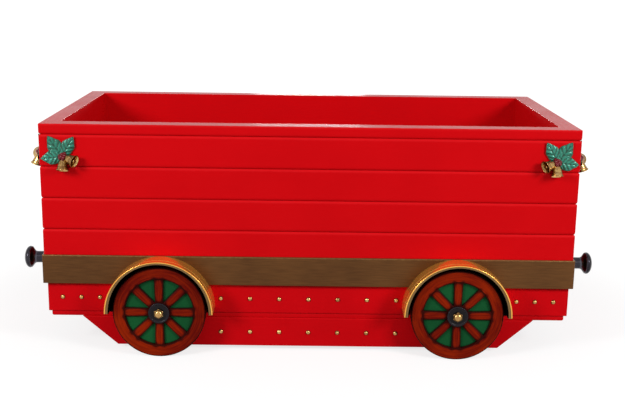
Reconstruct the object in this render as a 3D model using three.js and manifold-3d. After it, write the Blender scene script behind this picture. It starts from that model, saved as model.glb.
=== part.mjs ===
// Open-topped display goods wagon: plank sides, a mitred rim, gilt belt boards, studded sole bars,
// four spoked wheels that turn on two dead axles, gilt wheel arches, turned buffers and holly sprigs.
//
// Millimetres. +X runs along the wagon, +Y across it and +Z up. The origin is on the ground under
// the wagon's centre. The front side faces -Y, the left end -X.

import * as THREE from "three";
import { mergeVertices } from "three/addons/utils/BufferGeometryUtils.js";
import Module from "manifold-3d";

const wasm = await Module();
wasm.setup();

// ---- Driving dimensions -------------------------------------------------------------------------

// Clearances.
const JOINT = 0.3; // between two pieces that touch, or a shaft and its hole
const END_PLAY = 0.5; // of a wheel along its axle, at each face
const CUT = 5; // how far a cutting tool runs past what it cuts

// The box.
const BODY_LENGTH = 1200; // over the faces of the end planks
const BODY_WIDTH = 594; // over the faces of the side planks
const WALL = 42; // thickness of the planks and width of the rim
const RIM_HEIGHT = 24;
const PLANK_HEIGHTS = [59, 71.5, 71.5, 72]; // from the lowest plank up
const EDGE_ROUND = 4.5; // radius along a plank's lower outer edge
const EDGE_CHAMFER = 3.5; // along a plank's upper outer edge
const RIM_EASE = 1.5; // chamfer along the rim's upper outer edge
const FLOOR_THICKNESS = 18;

// The belt boards, sole bars, base board and skirts under the planks.
const BELT_HEIGHT = 66.5;
const BELT_PROUD = 3; // past the planks
const BELT_EASE = 1.2;
const SOLE_HEIGHT = 69;
const SOLE_SIDE_INSET = 8; // behind the side planks
const SOLE_END_INSET = 4.5; // behind the end planks
const SOLE_LEDGE = 26; // inside the side planks, to carry the floor
const BASE_THICKNESS = 12.5;
const BASE_SIDE_INSET = 11;
const BASE_END_INSET = 10;
const BASE_ROUND = 3.5;
const SKIRT_CLEARANCE = 10.5; // over the ground
const SKIRT_THICKNESS = 22;
const SKIRT_TOP_INSET = 82; // from the end planks
const SKIRT_BOTTOM_INSET = 161;

// The wheels, hubs and axles.
const WHEELBASE = 672;
const WHEEL_RADIUS = 104.5;
const WHEEL_THICKNESS = 25;
const WHEEL_STANDOFF = 40; // from the side planks to a wheel's outer face
const FELLOE_WIDTH = 27;
const SPOKE_PAIRS = 4;
const SPOKE_WIDTH = 19;
const SPOKE_THICKNESS = 7;
const NAVE_RADIUS = 22; // where the spokes meet
const PANEL_THICKNESS = 8;
const AXLE_RADIUS = 6;
const AXLE_ABOVE_SOLE_EDGE = 14; // from the sole bar's lower edge to the axle's centre
const HUB_RADIUS = 23.5;
const HUB_FLANGE = 6;
const HUB_RING = 3; // width of the raised ring round the hub's face
const HUB_DISH = 1.5; // depth of the face inside that ring
const BARREL_RADIUS = 14;
const NUT_FLAT_RADIUS = 10; // from the centre to a flat
const NUT_HEX_HEIGHT = 5;
const NUT_DOME_HEIGHT = 6;
const THREAD_LENGTH = 6.5; // of axle inside each nut

// The wheel arches.
const ARCH_GAP = 8.5; // over the wheel's tread
const ARCH_THICKNESS = 8.5;
const ARCH_STANDOFF = 54; // from the side planks to an arch's outer edge

// The buffers.
const BUFFER_SPREAD = 400; // between the two on one end
const BUFFER_REACH = 67.5; // from the end planks to the tip
const BUFFER_HEAD_RADIUS = 25.5;
const BUFFER_EDGE = 4;
const BUFFER_DOME = 12.5;
const BUFFER_FLARE = 8; // length of the cone behind the head
const BUFFER_SHANK_RADIUS = 13.5;
const TENON_RADIUS = 9;
const TENON_LENGTH = 22;

// The holly sprigs. Places are measured from the corner along the wall, and up from the lower
// edge of the top plank.
const SPRIG_PLATE = 5; // thickness of the leaves
const BERRY_CENTRE = [53.5, 24];
const BERRY_RADIUS = 11;
const BERRY_HEIGHT = 21; // from the wall to the top of the berries
const LEAVES = [
  { tip: [22, 69], width: 27 },
  { tip: [80, 69], width: 27 },
  { tip: [6, 19], width: 26 },
];
const BELL_LENGTH = 24;
const BELL_CROWN_RADIUS = 6;
const BELL_WAIST_RADIUS = 8.5;
const BELL_MOUTH_RADIUS = 13.5;
const BELL_STANDOFF = 15; // from the wall to a bell's centre line
const BELLS = [
  { crown: [60, 21], mouth: [83, 14] },
  { crown: [53, 15], mouth: [51, -9] },
];

// Facets.
const WHEEL_FACETS = 32;
const ARCH_FACETS = 40; // of a full circle
const TURNED_FACETS = 20;
const SMALL_FACETS = 12;
const ROUND_STEPS = 3; // along a rounded edge

// ---- Heights and faces that follow --------------------------------------------------------------

const AXLE_Z = WHEEL_RADIUS;
const SOLE_Z = AXLE_Z - AXLE_ABOVE_SOLE_EDGE;
const BASE_Z = SOLE_Z - BASE_THICKNESS;
const BELT_Z = SOLE_Z + SOLE_HEIGHT;
const PLANKS_Z = BELT_Z + BELT_HEIGHT;
const PLANK_BOTTOMS = PLANK_HEIGHTS.map((_, i) =>
  PLANK_HEIGHTS.slice(0, i).reduce((sum, height) => sum + height, PLANKS_Z),
);
const RIM_Z = PLANK_BOTTOMS.at(-1) + PLANK_HEIGHTS.at(-1);

const HALF_LENGTH = BODY_LENGTH / 2;
const HALF_WIDTH = BODY_WIDTH / 2;
const BELT_Y = HALF_WIDTH + BELT_PROUD;
const SOLE_Y = HALF_WIDTH - SOLE_SIDE_INSET;
const SOLE_THICKNESS = WALL + SOLE_LEDGE - SOLE_SIDE_INSET;
const WHEEL_FACE_Y = HALF_WIDTH + WHEEL_STANDOFF;
const HUB_FACE_Y = WHEEL_FACE_Y + HUB_FLANGE;
const NUT_SEAT_Y = HUB_FACE_Y - HUB_DISH + END_PLAY;
const ARCH_INNER_RADIUS = WHEEL_RADIUS + ARCH_GAP;
const ARCH_OUTER_RADIUS = ARCH_INNER_RADIUS + ARCH_THICKNESS;

// ---- Finishes -----------------------------------------------------------------------------------

function finish(color, roughness, metalness) {
  return new THREE.MeshStandardMaterial({ color, roughness, metalness });
}

const RED_PAINT = finish(0xcb0c13, 0.35, 0);
const DARK_RED_PAINT = finish(0xb70710, 0.38, 0);
const GOLD_PAINT = finish(0x6f4e2a, 0.4, 0.6);
const GILT = finish(0xd9a441, 0.15, 1);
const ANTIQUED_WOOD = finish(0x63150a, 0.45, 0);
const GREEN_PAINT = finish(0x164a28, 0.5, 0);
const BLACK_LACQUER = finish(0x141215, 0.2, 0);
const BRASS = finish(0xb98a45, 0.25, 1);
const STEEL = finish(0x8a8c90, 0.35, 1);
const HOLLY_ENAMEL = finish(0x1f7f68, 0.35, 0.5);

// ---- Geometry helpers ---------------------------------------------------------------------------

// A closed geometry as a manifold-3d solid.
function toSolid(geometry) {
  const bare = geometry.clone();
  bare.deleteAttribute("normal");
  bare.deleteAttribute("uv");
  const merged = mergeVertices(bare, 1e-4);
  return new wasm.Manifold(
    new wasm.Mesh({
      numProp: 3,
      vertProperties: merged.attributes.position.array,
      triVerts: new Uint32Array(merged.index.array),
    }),
  );
}

// A manifold-3d solid as a flat-shaded geometry.
function toGeometry(solid) {
  const mesh = solid.getMesh();
  const indexed = new THREE.BufferGeometry()
    .setAttribute("position", new THREE.BufferAttribute(mesh.vertProperties, 3))
    .setIndex(new THREE.BufferAttribute(mesh.triVerts, 1));
  const geometry = indexed.toNonIndexed();
  geometry.computeVertexNormals();
  return geometry;
}

function unite(...geometries) {
  const solids = geometries.map(toSolid);
  return toGeometry(solids.reduce((whole, solid) => whole.add(solid)));
}

function cut(geometry, ...tools) {
  const solids = tools.map(toSolid);
  return toGeometry(
    solids.reduce((rest, tool) => rest.subtract(tool), toSolid(geometry)),
  );
}

// A box between two corners.
function boxBetween(low, high) {
  const size = high.map((value, i) => value - low[i]);
  const middle = high.map((value, i) => (value + low[i]) / 2);
  return new THREE.BoxGeometry(...size).translate(...middle);
}

// A solid through a stack of four-sided outlines, lowest first. Each level is { z, corners }, with
// the corners anticlockwise seen from above.
function stack(levels) {
  const positions = levels.flatMap(({ z, corners }) =>
    corners.flatMap(([x, y]) => [x, y, z]),
  );
  const top = 4 * (levels.length - 1);
  const index = [0, 2, 1, 0, 3, 2, top, top + 1, top + 2, top, top + 2, top + 3];
  for (let level = 0; level < levels.length - 1; level++) {
    for (let side = 0; side < 4; side++) {
      const a = 4 * level + side;
      const b = 4 * level + ((side + 1) % 4);
      index.push(a, b, b + 4, a, b + 4, a + 4);
    }
  }
  const geometry = new THREE.BufferGeometry().setAttribute(
    "position",
    new THREE.Float32BufferAttribute(positions, 3),
  );
  geometry.setIndex(index);
  const flat = geometry.toNonIndexed();
  flat.computeVertexNormals();
  return flat;
}

// Insets of an outer face from bottom to top: a rounded lower edge and a chamfered upper one.
function edgeProfile(bottom, top, round, chamfer) {
  const profile = [];
  for (let i = 0; i <= ROUND_STEPS; i++) {
    const angle = (i / ROUND_STEPS) * (Math.PI / 2);
    profile.push({
      z: bottom + round * (1 - Math.cos(angle)),
      inset: round * (1 - Math.sin(angle)),
    });
  }
  profile.push({ z: top - chamfer, inset: 0 }, { z: top, inset: chamfer });
  return profile;
}

// A board of a four-sided frame, on the frame's -Y side, with its ends mitred at 45 degrees.
// run and reach are half the frame's outer size along and across the board.
function mitredBoard(run, reach, thickness, profile) {
  const relief = (JOINT / 2) * Math.SQRT2;
  return stack(
    profile.map(({ z, inset }) => {
      const outer = run - inset - relief;
      const inner = run - thickness - relief;
      const corners = [
        [-outer, inset - reach],
        [outer, inset - reach],
        [inner, thickness - reach],
        [-inner, thickness - reach],
      ];
      return { z, corners };
    }),
  );
}

// The corner radius of a faceted circle whose flats touch the true one, so that a shaft of that
// radius turns inside it.
function cornerRadius(radius, facets) {
  return radius / Math.cos(Math.PI / facets);
}

// A regular outline whose flats touch the circle, with a flat at the bottom.
function facetedOutline(radius, facets, OutlineClass = THREE.Shape) {
  const corner = cornerRadius(radius, facets);
  const points = [];
  for (let i = 0; i < facets; i++) {
    const angle = ((i + 0.5) / facets) * 2 * Math.PI;
    points.push(
      new THREE.Vector2(corner * Math.cos(angle), corner * Math.sin(angle)),
    );
  }
  return new OutlineClass(points);
}

// An outline drawn in X and Z, extruded along Y from near to far.
function extrudeAcross(outline, near, far) {
  return new THREE.ExtrudeGeometry(outline, {
    depth: far - near,
    bevelEnabled: false,
    curveSegments: ARCH_FACETS / 2,
  })
    .rotateX(Math.PI / 2)
    .translate(0, far, 0);
}

// A cylinder along Y.
function barAcross(radius, near, far, facets = SMALL_FACETS) {
  return extrudeAcross(facetedOutline(radius, facets), near, far);
}

// A turned piece. The profile's points are [radius, distance], the distance runs towards -Y.
function turnedAcross(profile, facets) {
  const points = profile.map(([r, y]) => new THREE.Vector2(r, y));
  return new THREE.LatheGeometry(points, facets).rotateX(Math.PI);
}

// ---- The assembly -------------------------------------------------------------------------------

const wagon = new THREE.Group();

function addPiece(name, geometry, material, parent = wagon) {
  const mesh = new THREE.Mesh(geometry, material);
  mesh.name = name;
  parent.add(mesh);
  return mesh;
}

// The four sides of the wagon: a quarter turn each, and half the wagon's size along and across it.
const SIDES = [
  { name: "front", quarter: 0, isEnd: false },
  { name: "right", quarter: 1, isEnd: true },
  { name: "back", quarter: 2, isEnd: false },
  { name: "left", quarter: 3, isEnd: true },
];

// A frame of four mitred boards. sideInset and endInset are measured in from the planks' faces.
function addFrame(suffix, thickness, profile, material, sideInset = 0, endInset = 0) {
  for (const { name, quarter, isEnd } of SIDES) {
    const halfLength = HALF_LENGTH - endInset;
    const halfWidth = HALF_WIDTH - sideInset;
    const run = isEnd ? halfWidth : halfLength;
    const reach = isEnd ? halfLength : halfWidth;
    const mesh = addPiece(
      `${name}_${suffix}`,
      mitredBoard(run, reach, thickness, profile),
      material,
    );
    mesh.rotation.z = (quarter * Math.PI) / 2;
  }
}

function plankProfile(i) {
  const bottom = PLANK_BOTTOMS[i];
  const top = bottom + PLANK_HEIGHTS[i];
  return edgeProfile(bottom + JOINT, top, EDGE_ROUND, EDGE_CHAMFER);
}

// The sides are separate planks; each end is one board with the same grooves cut round it.
function addPlanks() {
  for (const { name, quarter, isEnd } of SIDES) {
    const run = isEnd ? HALF_WIDTH : HALF_LENGTH;
    const reach = isEnd ? HALF_LENGTH : HALF_WIDTH;
    const profiles = PLANK_HEIGHTS.map((_, i) => plankProfile(i));
    const boards = isEnd ? [profiles.flat()] : profiles;
    boards.forEach((profile, i) => {
      const mesh = addPiece(
        isEnd ? `${name}_end_panel` : `${name}_plank_${i + 1}`,
        mitredBoard(run, reach, WALL, profile),
        RED_PAINT,
      );
      mesh.rotation.z = (quarter * Math.PI) / 2;
    });
  }
}

function addRim() {
  const top = RIM_Z + RIM_HEIGHT;
  const profile = edgeProfile(RIM_Z + JOINT, top, EDGE_ROUND, RIM_EASE);
  addFrame("rim", WALL, profile, RED_PAINT);
}

function addBelt() {
  const top = BELT_Z + BELT_HEIGHT;
  const profile = edgeProfile(BELT_Z + JOINT, top, BELT_EASE, BELT_EASE);
  addFrame("belt_board", WALL + BELT_PROUD, profile, GOLD_PAINT, -BELT_PROUD, -BELT_PROUD);
}

// The sole bars are thicker than the walls, so that the floor sits on them. The two long ones are
// bored for the axles.
function addSoleBars() {
  const profile = [
    { z: SOLE_Z + JOINT, inset: 0 },
    { z: SOLE_Z + SOLE_HEIGHT, inset: 0 },
  ];
  addFrame("sole_bar", SOLE_THICKNESS, profile, DARK_RED_PAINT, SOLE_SIDE_INSET, SOLE_END_INSET);
  for (const name of ["front_sole_bar", "back_sole_bar"]) {
    const bar = wagon.getObjectByName(name);
    const bores = [-1, 1].map((side) =>
      barAcross(AXLE_RADIUS + JOINT, -SOLE_Y - CUT, -SOLE_Y + SOLE_THICKNESS + CUT)
        .translate((side * WHEELBASE) / 2, 0, AXLE_Z),
    );
    bar.geometry = cut(bar.geometry, ...bores);
  }
}

function addFloor() {
  const x = HALF_LENGTH - WALL - JOINT;
  const y = HALF_WIDTH - WALL - JOINT;
  const z = BELT_Z + JOINT;
  addPiece("floor_board", boxBetween([-x, -y, z], [x, y, z + FLOOR_THICKNESS]), RED_PAINT);
}

function addBaseBoard() {
  const x = HALF_LENGTH - BASE_END_INSET;
  const y = HALF_WIDTH - BASE_SIDE_INSET;
  const lower = edgeProfile(BASE_Z + JOINT, SOLE_Z, BASE_ROUND, BASE_ROUND);
  const levels = lower.map(({ z, inset }) => ({
    z,
    corners: [
      [inset - x, inset - y],
      [x - inset, inset - y],
      [x - inset, y - inset],
      [inset - x, y - inset],
    ],
  }));
  addPiece("base_board", stack(levels), DARK_RED_PAINT);
}

function addSkirts() {
  const top = HALF_LENGTH - SKIRT_TOP_INSET;
  const bottom = HALF_LENGTH - SKIRT_BOTTOM_INSET;
  const outline = new THREE.Shape([
    new THREE.Vector2(-bottom, SKIRT_CLEARANCE),
    new THREE.Vector2(bottom, SKIRT_CLEARANCE),
    new THREE.Vector2(top, BASE_Z),
    new THREE.Vector2(-top, BASE_Z),
  ]);
  for (const [name, turn] of [["front_skirt", 0], ["back_skirt", Math.PI]]) {
    const board = extrudeAcross(outline, -SOLE_Y, -SOLE_Y + SKIRT_THICKNESS);
    addPiece(name, board, DARK_RED_PAINT).rotation.z = turn;
  }
}

// ---- Running gear. Each piece is made for the front side, about its own wheel's centre. ----------

// Felloe, spokes and nave, glued up as one turned and cut wooden wheel.
function wheelGeometry() {
  const innerRadius = WHEEL_RADIUS - FELLOE_WIDTH;
  const felloeOutline = facetedOutline(WHEEL_RADIUS, WHEEL_FACETS);
  felloeOutline.holes.push(facetedOutline(innerRadius, WHEEL_FACETS, THREE.Path));
  const back = -WHEEL_FACE_Y + WHEEL_THICKNESS;
  const felloe = extrudeAcross(felloeOutline, -WHEEL_FACE_Y, back);
  const spokeBack = -WHEEL_FACE_Y + SPOKE_THICKNESS;
  const reach = innerRadius + FELLOE_WIDTH / 2;
  const spokes = Array.from({ length: SPOKE_PAIRS }, (_, i) =>
    boxBetween(
      [-reach, -WHEEL_FACE_Y, -SPOKE_WIDTH / 2],
      [reach, spokeBack, SPOKE_WIDTH / 2],
    ).rotateY((i * Math.PI) / SPOKE_PAIRS),
  );
  const nave = barAcross(NAVE_RADIUS, -WHEEL_FACE_Y, spokeBack, TURNED_FACETS);
  const eye = barAcross(
    BARREL_RADIUS + JOINT,
    -WHEEL_FACE_Y - CUT,
    back + CUT,
    TURNED_FACETS,
  );
  return cut(unite(felloe, nave, ...spokes), eye);
}

// The painted disc behind the spokes, let into the felloe.
function panelGeometry() {
  const outline = facetedOutline(WHEEL_RADIUS - FELLOE_WIDTH - JOINT, WHEEL_FACETS);
  outline.holes.push(facetedOutline(BARREL_RADIUS + JOINT, TURNED_FACETS, THREE.Path));
  const near = -WHEEL_FACE_Y + SPOKE_THICKNESS + JOINT;
  return extrudeAcross(outline, near, near + PANEL_THICKNESS);
}

// The flanged hub, which runs on the axle and carries the wheel against end thrust.
function hubGeometry() {
  const bore = cornerRadius(AXLE_RADIUS + JOINT, TURNED_FACETS);
  const rear = SOLE_Y + END_PLAY;
  const seat = WHEEL_FACE_Y + JOINT;
  const profile = [
    [bore, rear],
    [BARREL_RADIUS, rear],
    [BARREL_RADIUS, seat],
    [HUB_RADIUS, seat],
    [HUB_RADIUS, HUB_FACE_Y],
    [HUB_RADIUS - HUB_RING, HUB_FACE_Y],
    [HUB_RADIUS - HUB_RING - HUB_DISH, HUB_FACE_Y - HUB_DISH],
    [bore, HUB_FACE_Y - HUB_DISH],
    [bore, rear],
  ];
  return turnedAcross(profile, TURNED_FACETS);
}

// A domed cap nut on the axle's end, with a blind thread.
function nutGeometry() {
  const hexTop = -NUT_SEAT_Y - NUT_HEX_HEIGHT;
  const hexagon = barAcross(NUT_FLAT_RADIUS, hexTop, -NUT_SEAT_Y, 6);
  const dome = new THREE.SphereGeometry(NUT_FLAT_RADIUS, SMALL_FACETS, 8)
    .scale(1, NUT_DOME_HEIGHT / NUT_FLAT_RADIUS, 1)
    .translate(0, hexTop, 0);
  const thread = barAcross(
    AXLE_RADIUS + JOINT,
    -NUT_SEAT_Y - THREAD_LENGTH - JOINT,
    -NUT_SEAT_Y + CUT,
    TURNED_FACETS,
  );
  return cut(unite(hexagon, dome), thread);
}

// Half a ring over the wheel. Its back is scribed to the boards that it is glued against.
function archGeometry() {
  const outline = new THREE.Shape();
  outline.absarc(0, 0, ARCH_OUTER_RADIUS, 0, Math.PI, false);
  outline.absarc(0, 0, ARCH_INNER_RADIUS, Math.PI, 0, true);
  const ring = extrudeAcross(outline, -(HALF_WIDTH + ARCH_STANDOFF), -SOLE_Y - JOINT);
  const reach = 2 * ARCH_OUTER_RADIUS;
  const belt = boxBetween([-reach, -BELT_Y - JOINT, BELT_Z - AXLE_Z], [reach, 0, reach]);
  return cut(ring, belt);
}

function addRunningGear() {
  for (const [across, turn] of [["front", 0], ["back", Math.PI]]) {
    const side = new THREE.Group();
    side.rotation.z = turn;
    wagon.add(side);
    for (const along of ["left", "right"]) {
      const isLeft = along === "left";
      const place = new THREE.Group();
      place.position.set(((isLeft === (across === "front") ? -1 : 1) * WHEELBASE) / 2, 0, AXLE_Z);
      side.add(place);
      const corner = `${across}_${along}`;
      addPiece(`${corner}_wheel`, wheelGeometry(), ANTIQUED_WOOD, place);
      addPiece(`${corner}_wheel_panel`, panelGeometry(), GREEN_PAINT, place);
      addPiece(`${corner}_hub`, hubGeometry(), BLACK_LACQUER, place);
      addPiece(`${corner}_cap_nut`, nutGeometry(), BRASS, place);
      addPiece(`${corner}_wheel_arch`, archGeometry(), GILT, place);
    }
  }
  for (const [along, side] of [["left", -1], ["right", 1]]) {
    const end = NUT_SEAT_Y + THREAD_LENGTH;
    const axle = barAcross(AXLE_RADIUS, -end, end, TURNED_FACETS);
    addPiece(`${along}_axle`, axle, STEEL).position.set((side * WHEELBASE) / 2, 0, AXLE_Z);
  }
}

// ---- Buffers ------------------------------------------------------------------------------------

// One turned buffer along +X from the belt board's face: tenon, shank, flare and domed head.
function bufferGeometry() {
  const reach = BUFFER_REACH - BELT_PROUD;
  const headBack = reach - BUFFER_DOME - BUFFER_EDGE;
  const profile = [
    [0, JOINT - TENON_LENGTH],
    [TENON_RADIUS, JOINT - TENON_LENGTH],
    [TENON_RADIUS, JOINT],
    [BUFFER_SHANK_RADIUS, JOINT],
    [BUFFER_SHANK_RADIUS, headBack - BUFFER_FLARE],
    [BUFFER_HEAD_RADIUS, headBack],
  ];
  const domeSteps = 5;
  for (let i = 0; i <= domeSteps; i++) {
    const angle = (i / domeSteps) * (Math.PI / 2);
    profile.push([
      i === domeSteps ? 0 : BUFFER_HEAD_RADIUS * Math.cos(angle),
      reach - BUFFER_DOME * (1 - Math.sin(angle)),
    ]);
  }
  const points = profile.map(([r, x]) => new THREE.Vector2(r, x));
  return new THREE.LatheGeometry(points, TURNED_FACETS).rotateZ(-Math.PI / 2);
}

function addBuffers() {
  const z = BELT_Z + BELT_HEIGHT / 2;
  for (const [end, side, turn] of [["left", -1, Math.PI], ["right", 1, 0]]) {
    const board = wagon.getObjectByName(`${end}_belt_board`);
    const sockets = [];
    for (const [across, sign] of [["front", -1], ["back", 1]]) {
      const y = (sign * BUFFER_SPREAD) / 2;
      const buffer = addPiece(`${end}_${across}_buffer`, bufferGeometry(), BLACK_LACQUER);
      buffer.position.set(side * (HALF_LENGTH + BELT_PROUD), y, z);
      buffer.rotation.z = turn;
      const face = HALF_LENGTH + BELT_PROUD;
      const bottom = TENON_LENGTH + JOINT - face;
      sockets.push(
        barAcross(TENON_RADIUS + JOINT, -face - CUT, bottom, TURNED_FACETS)
          .translate(side * sign * (BUFFER_SPREAD / 2), 0, z),
      );
    }
    board.geometry = cut(board.geometry, ...sockets);
  }
}

// ---- Holly --------------------------------------------------------------------------------------

// A pointed leaf from the berries to its tip, as a plate on the wall.
function leafGeometry({ tip, width }) {
  const [x0, z0] = BERRY_CENTRE;
  const dx = tip[0] - x0;
  const dz = tip[1] - z0;
  const length = Math.hypot(dx, dz);
  const at = (along, aside) =>
    new THREE.Vector2(
      x0 + dx * along - (dz / length) * aside * width,
      z0 + dz * along + (dx / length) * aside * width,
    );
  const outline = new THREE.Shape([
    at(0, -0.25),
    at(0.3, -0.5),
    at(0.7, -0.45),
    at(1, 0),
    at(0.7, 0.45),
    at(0.3, 0.5),
    at(0, 0.25),
  ]);
  return extrudeAcross(outline, -SPRIG_PLATE, -JOINT);
}

// A bell as a turned solid from its crown to its mouth, in the plane at BELL_STANDOFF.
function bellGeometry({ crown, mouth }) {
  const profile = [
    [0, 0],
    [BELL_CROWN_RADIUS, 0],
    [BELL_WAIST_RADIUS, BELL_LENGTH * 0.3],
    [BELL_WAIST_RADIUS, BELL_LENGTH * 0.65],
    [BELL_MOUTH_RADIUS, BELL_LENGTH],
    [0, BELL_LENGTH],
  ].map(([r, y]) => new THREE.Vector2(r, y));
  const heading = Math.atan2(mouth[1] - crown[1], mouth[0] - crown[0]);
  return new THREE.LatheGeometry(profile, SMALL_FACETS)
    .rotateX(Math.PI / 2)
    .rotateY(Math.PI / 2 - heading)
    .translate(crown[0], -BELL_STANDOFF, crown[1]);
}

function sprigGeometry() {
  const berries = barAcross(BERRY_RADIUS, -BERRY_HEIGHT, -JOINT)
    .translate(BERRY_CENTRE[0], 0, BERRY_CENTRE[1]);
  return unite(berries, ...LEAVES.map(leafGeometry), ...BELLS.map(bellGeometry));
}

// Two sprigs at each corner of the wagon, one on each wall, mirrored about the corner.
function addHolly() {
  const z = PLANK_BOTTOMS.at(-1);
  for (const { name, quarter, isEnd } of SIDES) {
    const run = isEnd ? HALF_WIDTH : HALF_LENGTH;
    const reach = isEnd ? HALF_LENGTH : HALF_WIDTH;
    const wall = new THREE.Group();
    wall.rotation.z = (quarter * Math.PI) / 2;
    wagon.add(wall);
    for (const end of [-1, 1]) {
      const towardsLeft = quarter === 0 ? end < 0 : end > 0;
      const towardsFront = quarter === 1 ? end < 0 : end > 0;
      const near = isEnd ? (towardsFront ? "front" : "back") : towardsLeft ? "left" : "right";
      const sprig = addPiece(`${name}_${near}_holly`, sprigGeometry(), HOLLY_ENAMEL, wall);
      sprig.position.set(end * run, -reach, z);
      sprig.scale.x = -end;
    }
  }
}

addFloor();
addPlanks();
addRim();
addBelt();
addSoleBars();
addBaseBoard();
addSkirts();
addRunningGear();
addBuffers();
addHolly();

export default wagon;
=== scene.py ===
"""Looks of an open-topped display goods wagon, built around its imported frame.

Metres. +X runs along the wagon, +Y across it and +Z up, and the origin is on the ground under the
wagon's centre. The front side faces -Y and the left end -X. Every shape is a grid of points worked
out with numpy, and its place comes from the frame's own boxes.
"""

import logging
import math
from collections.abc import Callable
from dataclasses import dataclass
from enum import Enum
from functools import cache

import bmesh
import bpy
import numpy as np
from mathutils import Matrix, Vector


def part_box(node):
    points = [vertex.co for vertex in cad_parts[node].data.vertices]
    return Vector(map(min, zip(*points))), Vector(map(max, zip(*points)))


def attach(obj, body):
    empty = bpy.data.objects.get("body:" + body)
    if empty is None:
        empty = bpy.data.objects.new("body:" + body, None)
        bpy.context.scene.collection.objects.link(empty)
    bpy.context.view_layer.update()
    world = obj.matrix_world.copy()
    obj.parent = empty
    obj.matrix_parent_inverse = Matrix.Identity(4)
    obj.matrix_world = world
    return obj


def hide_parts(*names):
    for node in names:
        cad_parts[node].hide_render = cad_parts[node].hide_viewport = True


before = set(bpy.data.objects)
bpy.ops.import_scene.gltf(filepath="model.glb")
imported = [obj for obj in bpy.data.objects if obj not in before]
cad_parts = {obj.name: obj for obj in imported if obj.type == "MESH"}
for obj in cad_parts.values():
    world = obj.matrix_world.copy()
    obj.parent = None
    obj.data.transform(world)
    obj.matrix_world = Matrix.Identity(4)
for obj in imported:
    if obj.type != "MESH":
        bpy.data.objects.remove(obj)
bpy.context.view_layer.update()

Array = np.ndarray
Colour = tuple[int, int, int]
Socket = bpy.types.NodeSocket
Value = Socket | float | tuple[float, ...]  # what a node's input takes

BODY = "wagon"
JOINT = 0.0003  # the frame's clearance between two pieces, closed here
WELD = 2e-6  # points closer than this are one point
MARGIN = 0.003  # of flat surface that shares in an edge's tone
STRETCH = 14.0  # how much longer than wide a streak of grain is
LENGTHWISE = (1 / STRETCH, 1, 1)  # turns places into grain that runs along the wagon


# ---- Placing points -----------------------------------------------------------------------------


class Side(Enum):
    """The four sides of the wagon, as quarter turns from the front."""

    FRONT = 0
    RIGHT = 1
    BACK = 2
    LEFT = 3

    @property
    def label(self) -> str:
        """The side's name as the frame's nodes have it."""
        return self.name.lower()

    @property
    def is_end(self) -> bool:
        """Whether this is one of the two short sides."""
        return self.value % 2 == 1

    @property
    def hands(self) -> tuple[str, str]:
        """The names of the corners at the side's left hand and right hand, seen from outside."""
        names = [side.label for side in Side]
        return names[self.value - 1], names[(self.value + 1) % 4]

    def turn(self, points: Array) -> Array:
        """Carries points that were made for the front round to this side.

        Args:
            points: places, in an array whose last axis is x, y and z.

        Returns:
            The same places turned about the upright axis by this side's quarter turns.
        """
        cosine, sine = ((1, 0), (0, 1), (-1, 0), (0, -1))[self.value]
        return points @ np.array([[cosine, sine, 0], [-sine, cosine, 0], [0, 0, 1]])


def aim(points: Array, origin: Array, axis: Array) -> Array:
    """Stands a turned shape on a place and points its axis.

    Args:
        points: places about the z axis, from z = 0.
        origin: where the shape's own origin goes, with any leading axes to repeat it.
        axis: the direction that its z axis takes.

    Returns:
        origin + x * across + y * over + z * axis, with across, over and axis square to each other.
    """
    axis = np.asarray(axis, float) / np.linalg.norm(axis)
    helper = np.array([1.0, 0, 0]) if abs(axis[0]) < 0.8 else np.array([0, 1.0, 0])
    across = np.cross(helper, axis)
    across /= np.linalg.norm(across)
    return origin + points @ np.array([across, np.cross(axis, across), axis])


# ---- Profiles and grids -------------------------------------------------------------------------


def eased(
    corners: list[tuple[float, float, float]],
    closed: bool = False,
    steps: int = 7,
    margin: float = MARGIN,
) -> tuple[Array, Array]:
    """Rounds the corners of a path.

    Each corner P is replaced by the parabola (1-s)^2 A + 2s(1-s) P + s^2 B, where A and B lie on
    the straight sides at the corner's own distance from it. A point further out on each side ends
    the margin that shares in the edge's tone, so the flat beyond it stays flat.

    Args:
        corners: first coordinate, second coordinate and easing distance of each corner.
        closed: whether the last corner joins the first.
        steps: points along each eased corner.
        margin: length of each margin.

    Returns:
        The path's points, and their edge values: 0 on the flats and 1 on the corners.
    """
    given = np.array(corners, float)
    place, ease = given[:, :2], given[:, 2]
    before = np.roll(place, 1, axis=0) - place
    after = np.roll(place, -1, axis=0) - place
    if not closed:
        before[0], after[-1] = after[0], before[-1]
        ease[[0, -1]] = 0
    room = 0.5 * np.minimum(np.linalg.norm(before, axis=1), np.linalg.norm(after, axis=1))
    ease = np.minimum(ease, room)
    outer = np.where(ease > 0, np.minimum(ease + margin, room), 0)
    before /= np.linalg.norm(before, axis=1, keepdims=True)
    after /= np.linalg.norm(after, axis=1, keepdims=True)
    s = np.linspace(0, 1, steps)[None, :, None]
    start = (place + before * ease[:, None])[:, None]
    end = (place + after * ease[:, None])[:, None]
    curve = (1 - s) ** 2 * start + 2 * s * (1 - s) * place[:, None] + s**2 * end
    first = (place + before * outer[:, None])[:, None]
    last = (place + after * outer[:, None])[:, None]
    path = np.concatenate([first, curve, last], axis=1)
    tone = np.sin(np.pi * np.linspace(0.2, 0.8, steps))
    edge = np.concatenate([[0.0], tone, [0.0]])[None] * (ease > 0)[:, None]
    path, edge = path.reshape(-1, 2), edge.reshape(-1)
    beyond = path[:1] if closed else path[-1:] + 1
    apart = np.linalg.norm(np.diff(path, axis=0, append=beyond), axis=1)
    keep = apart > WELD
    return path[keep], edge[keep]


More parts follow.
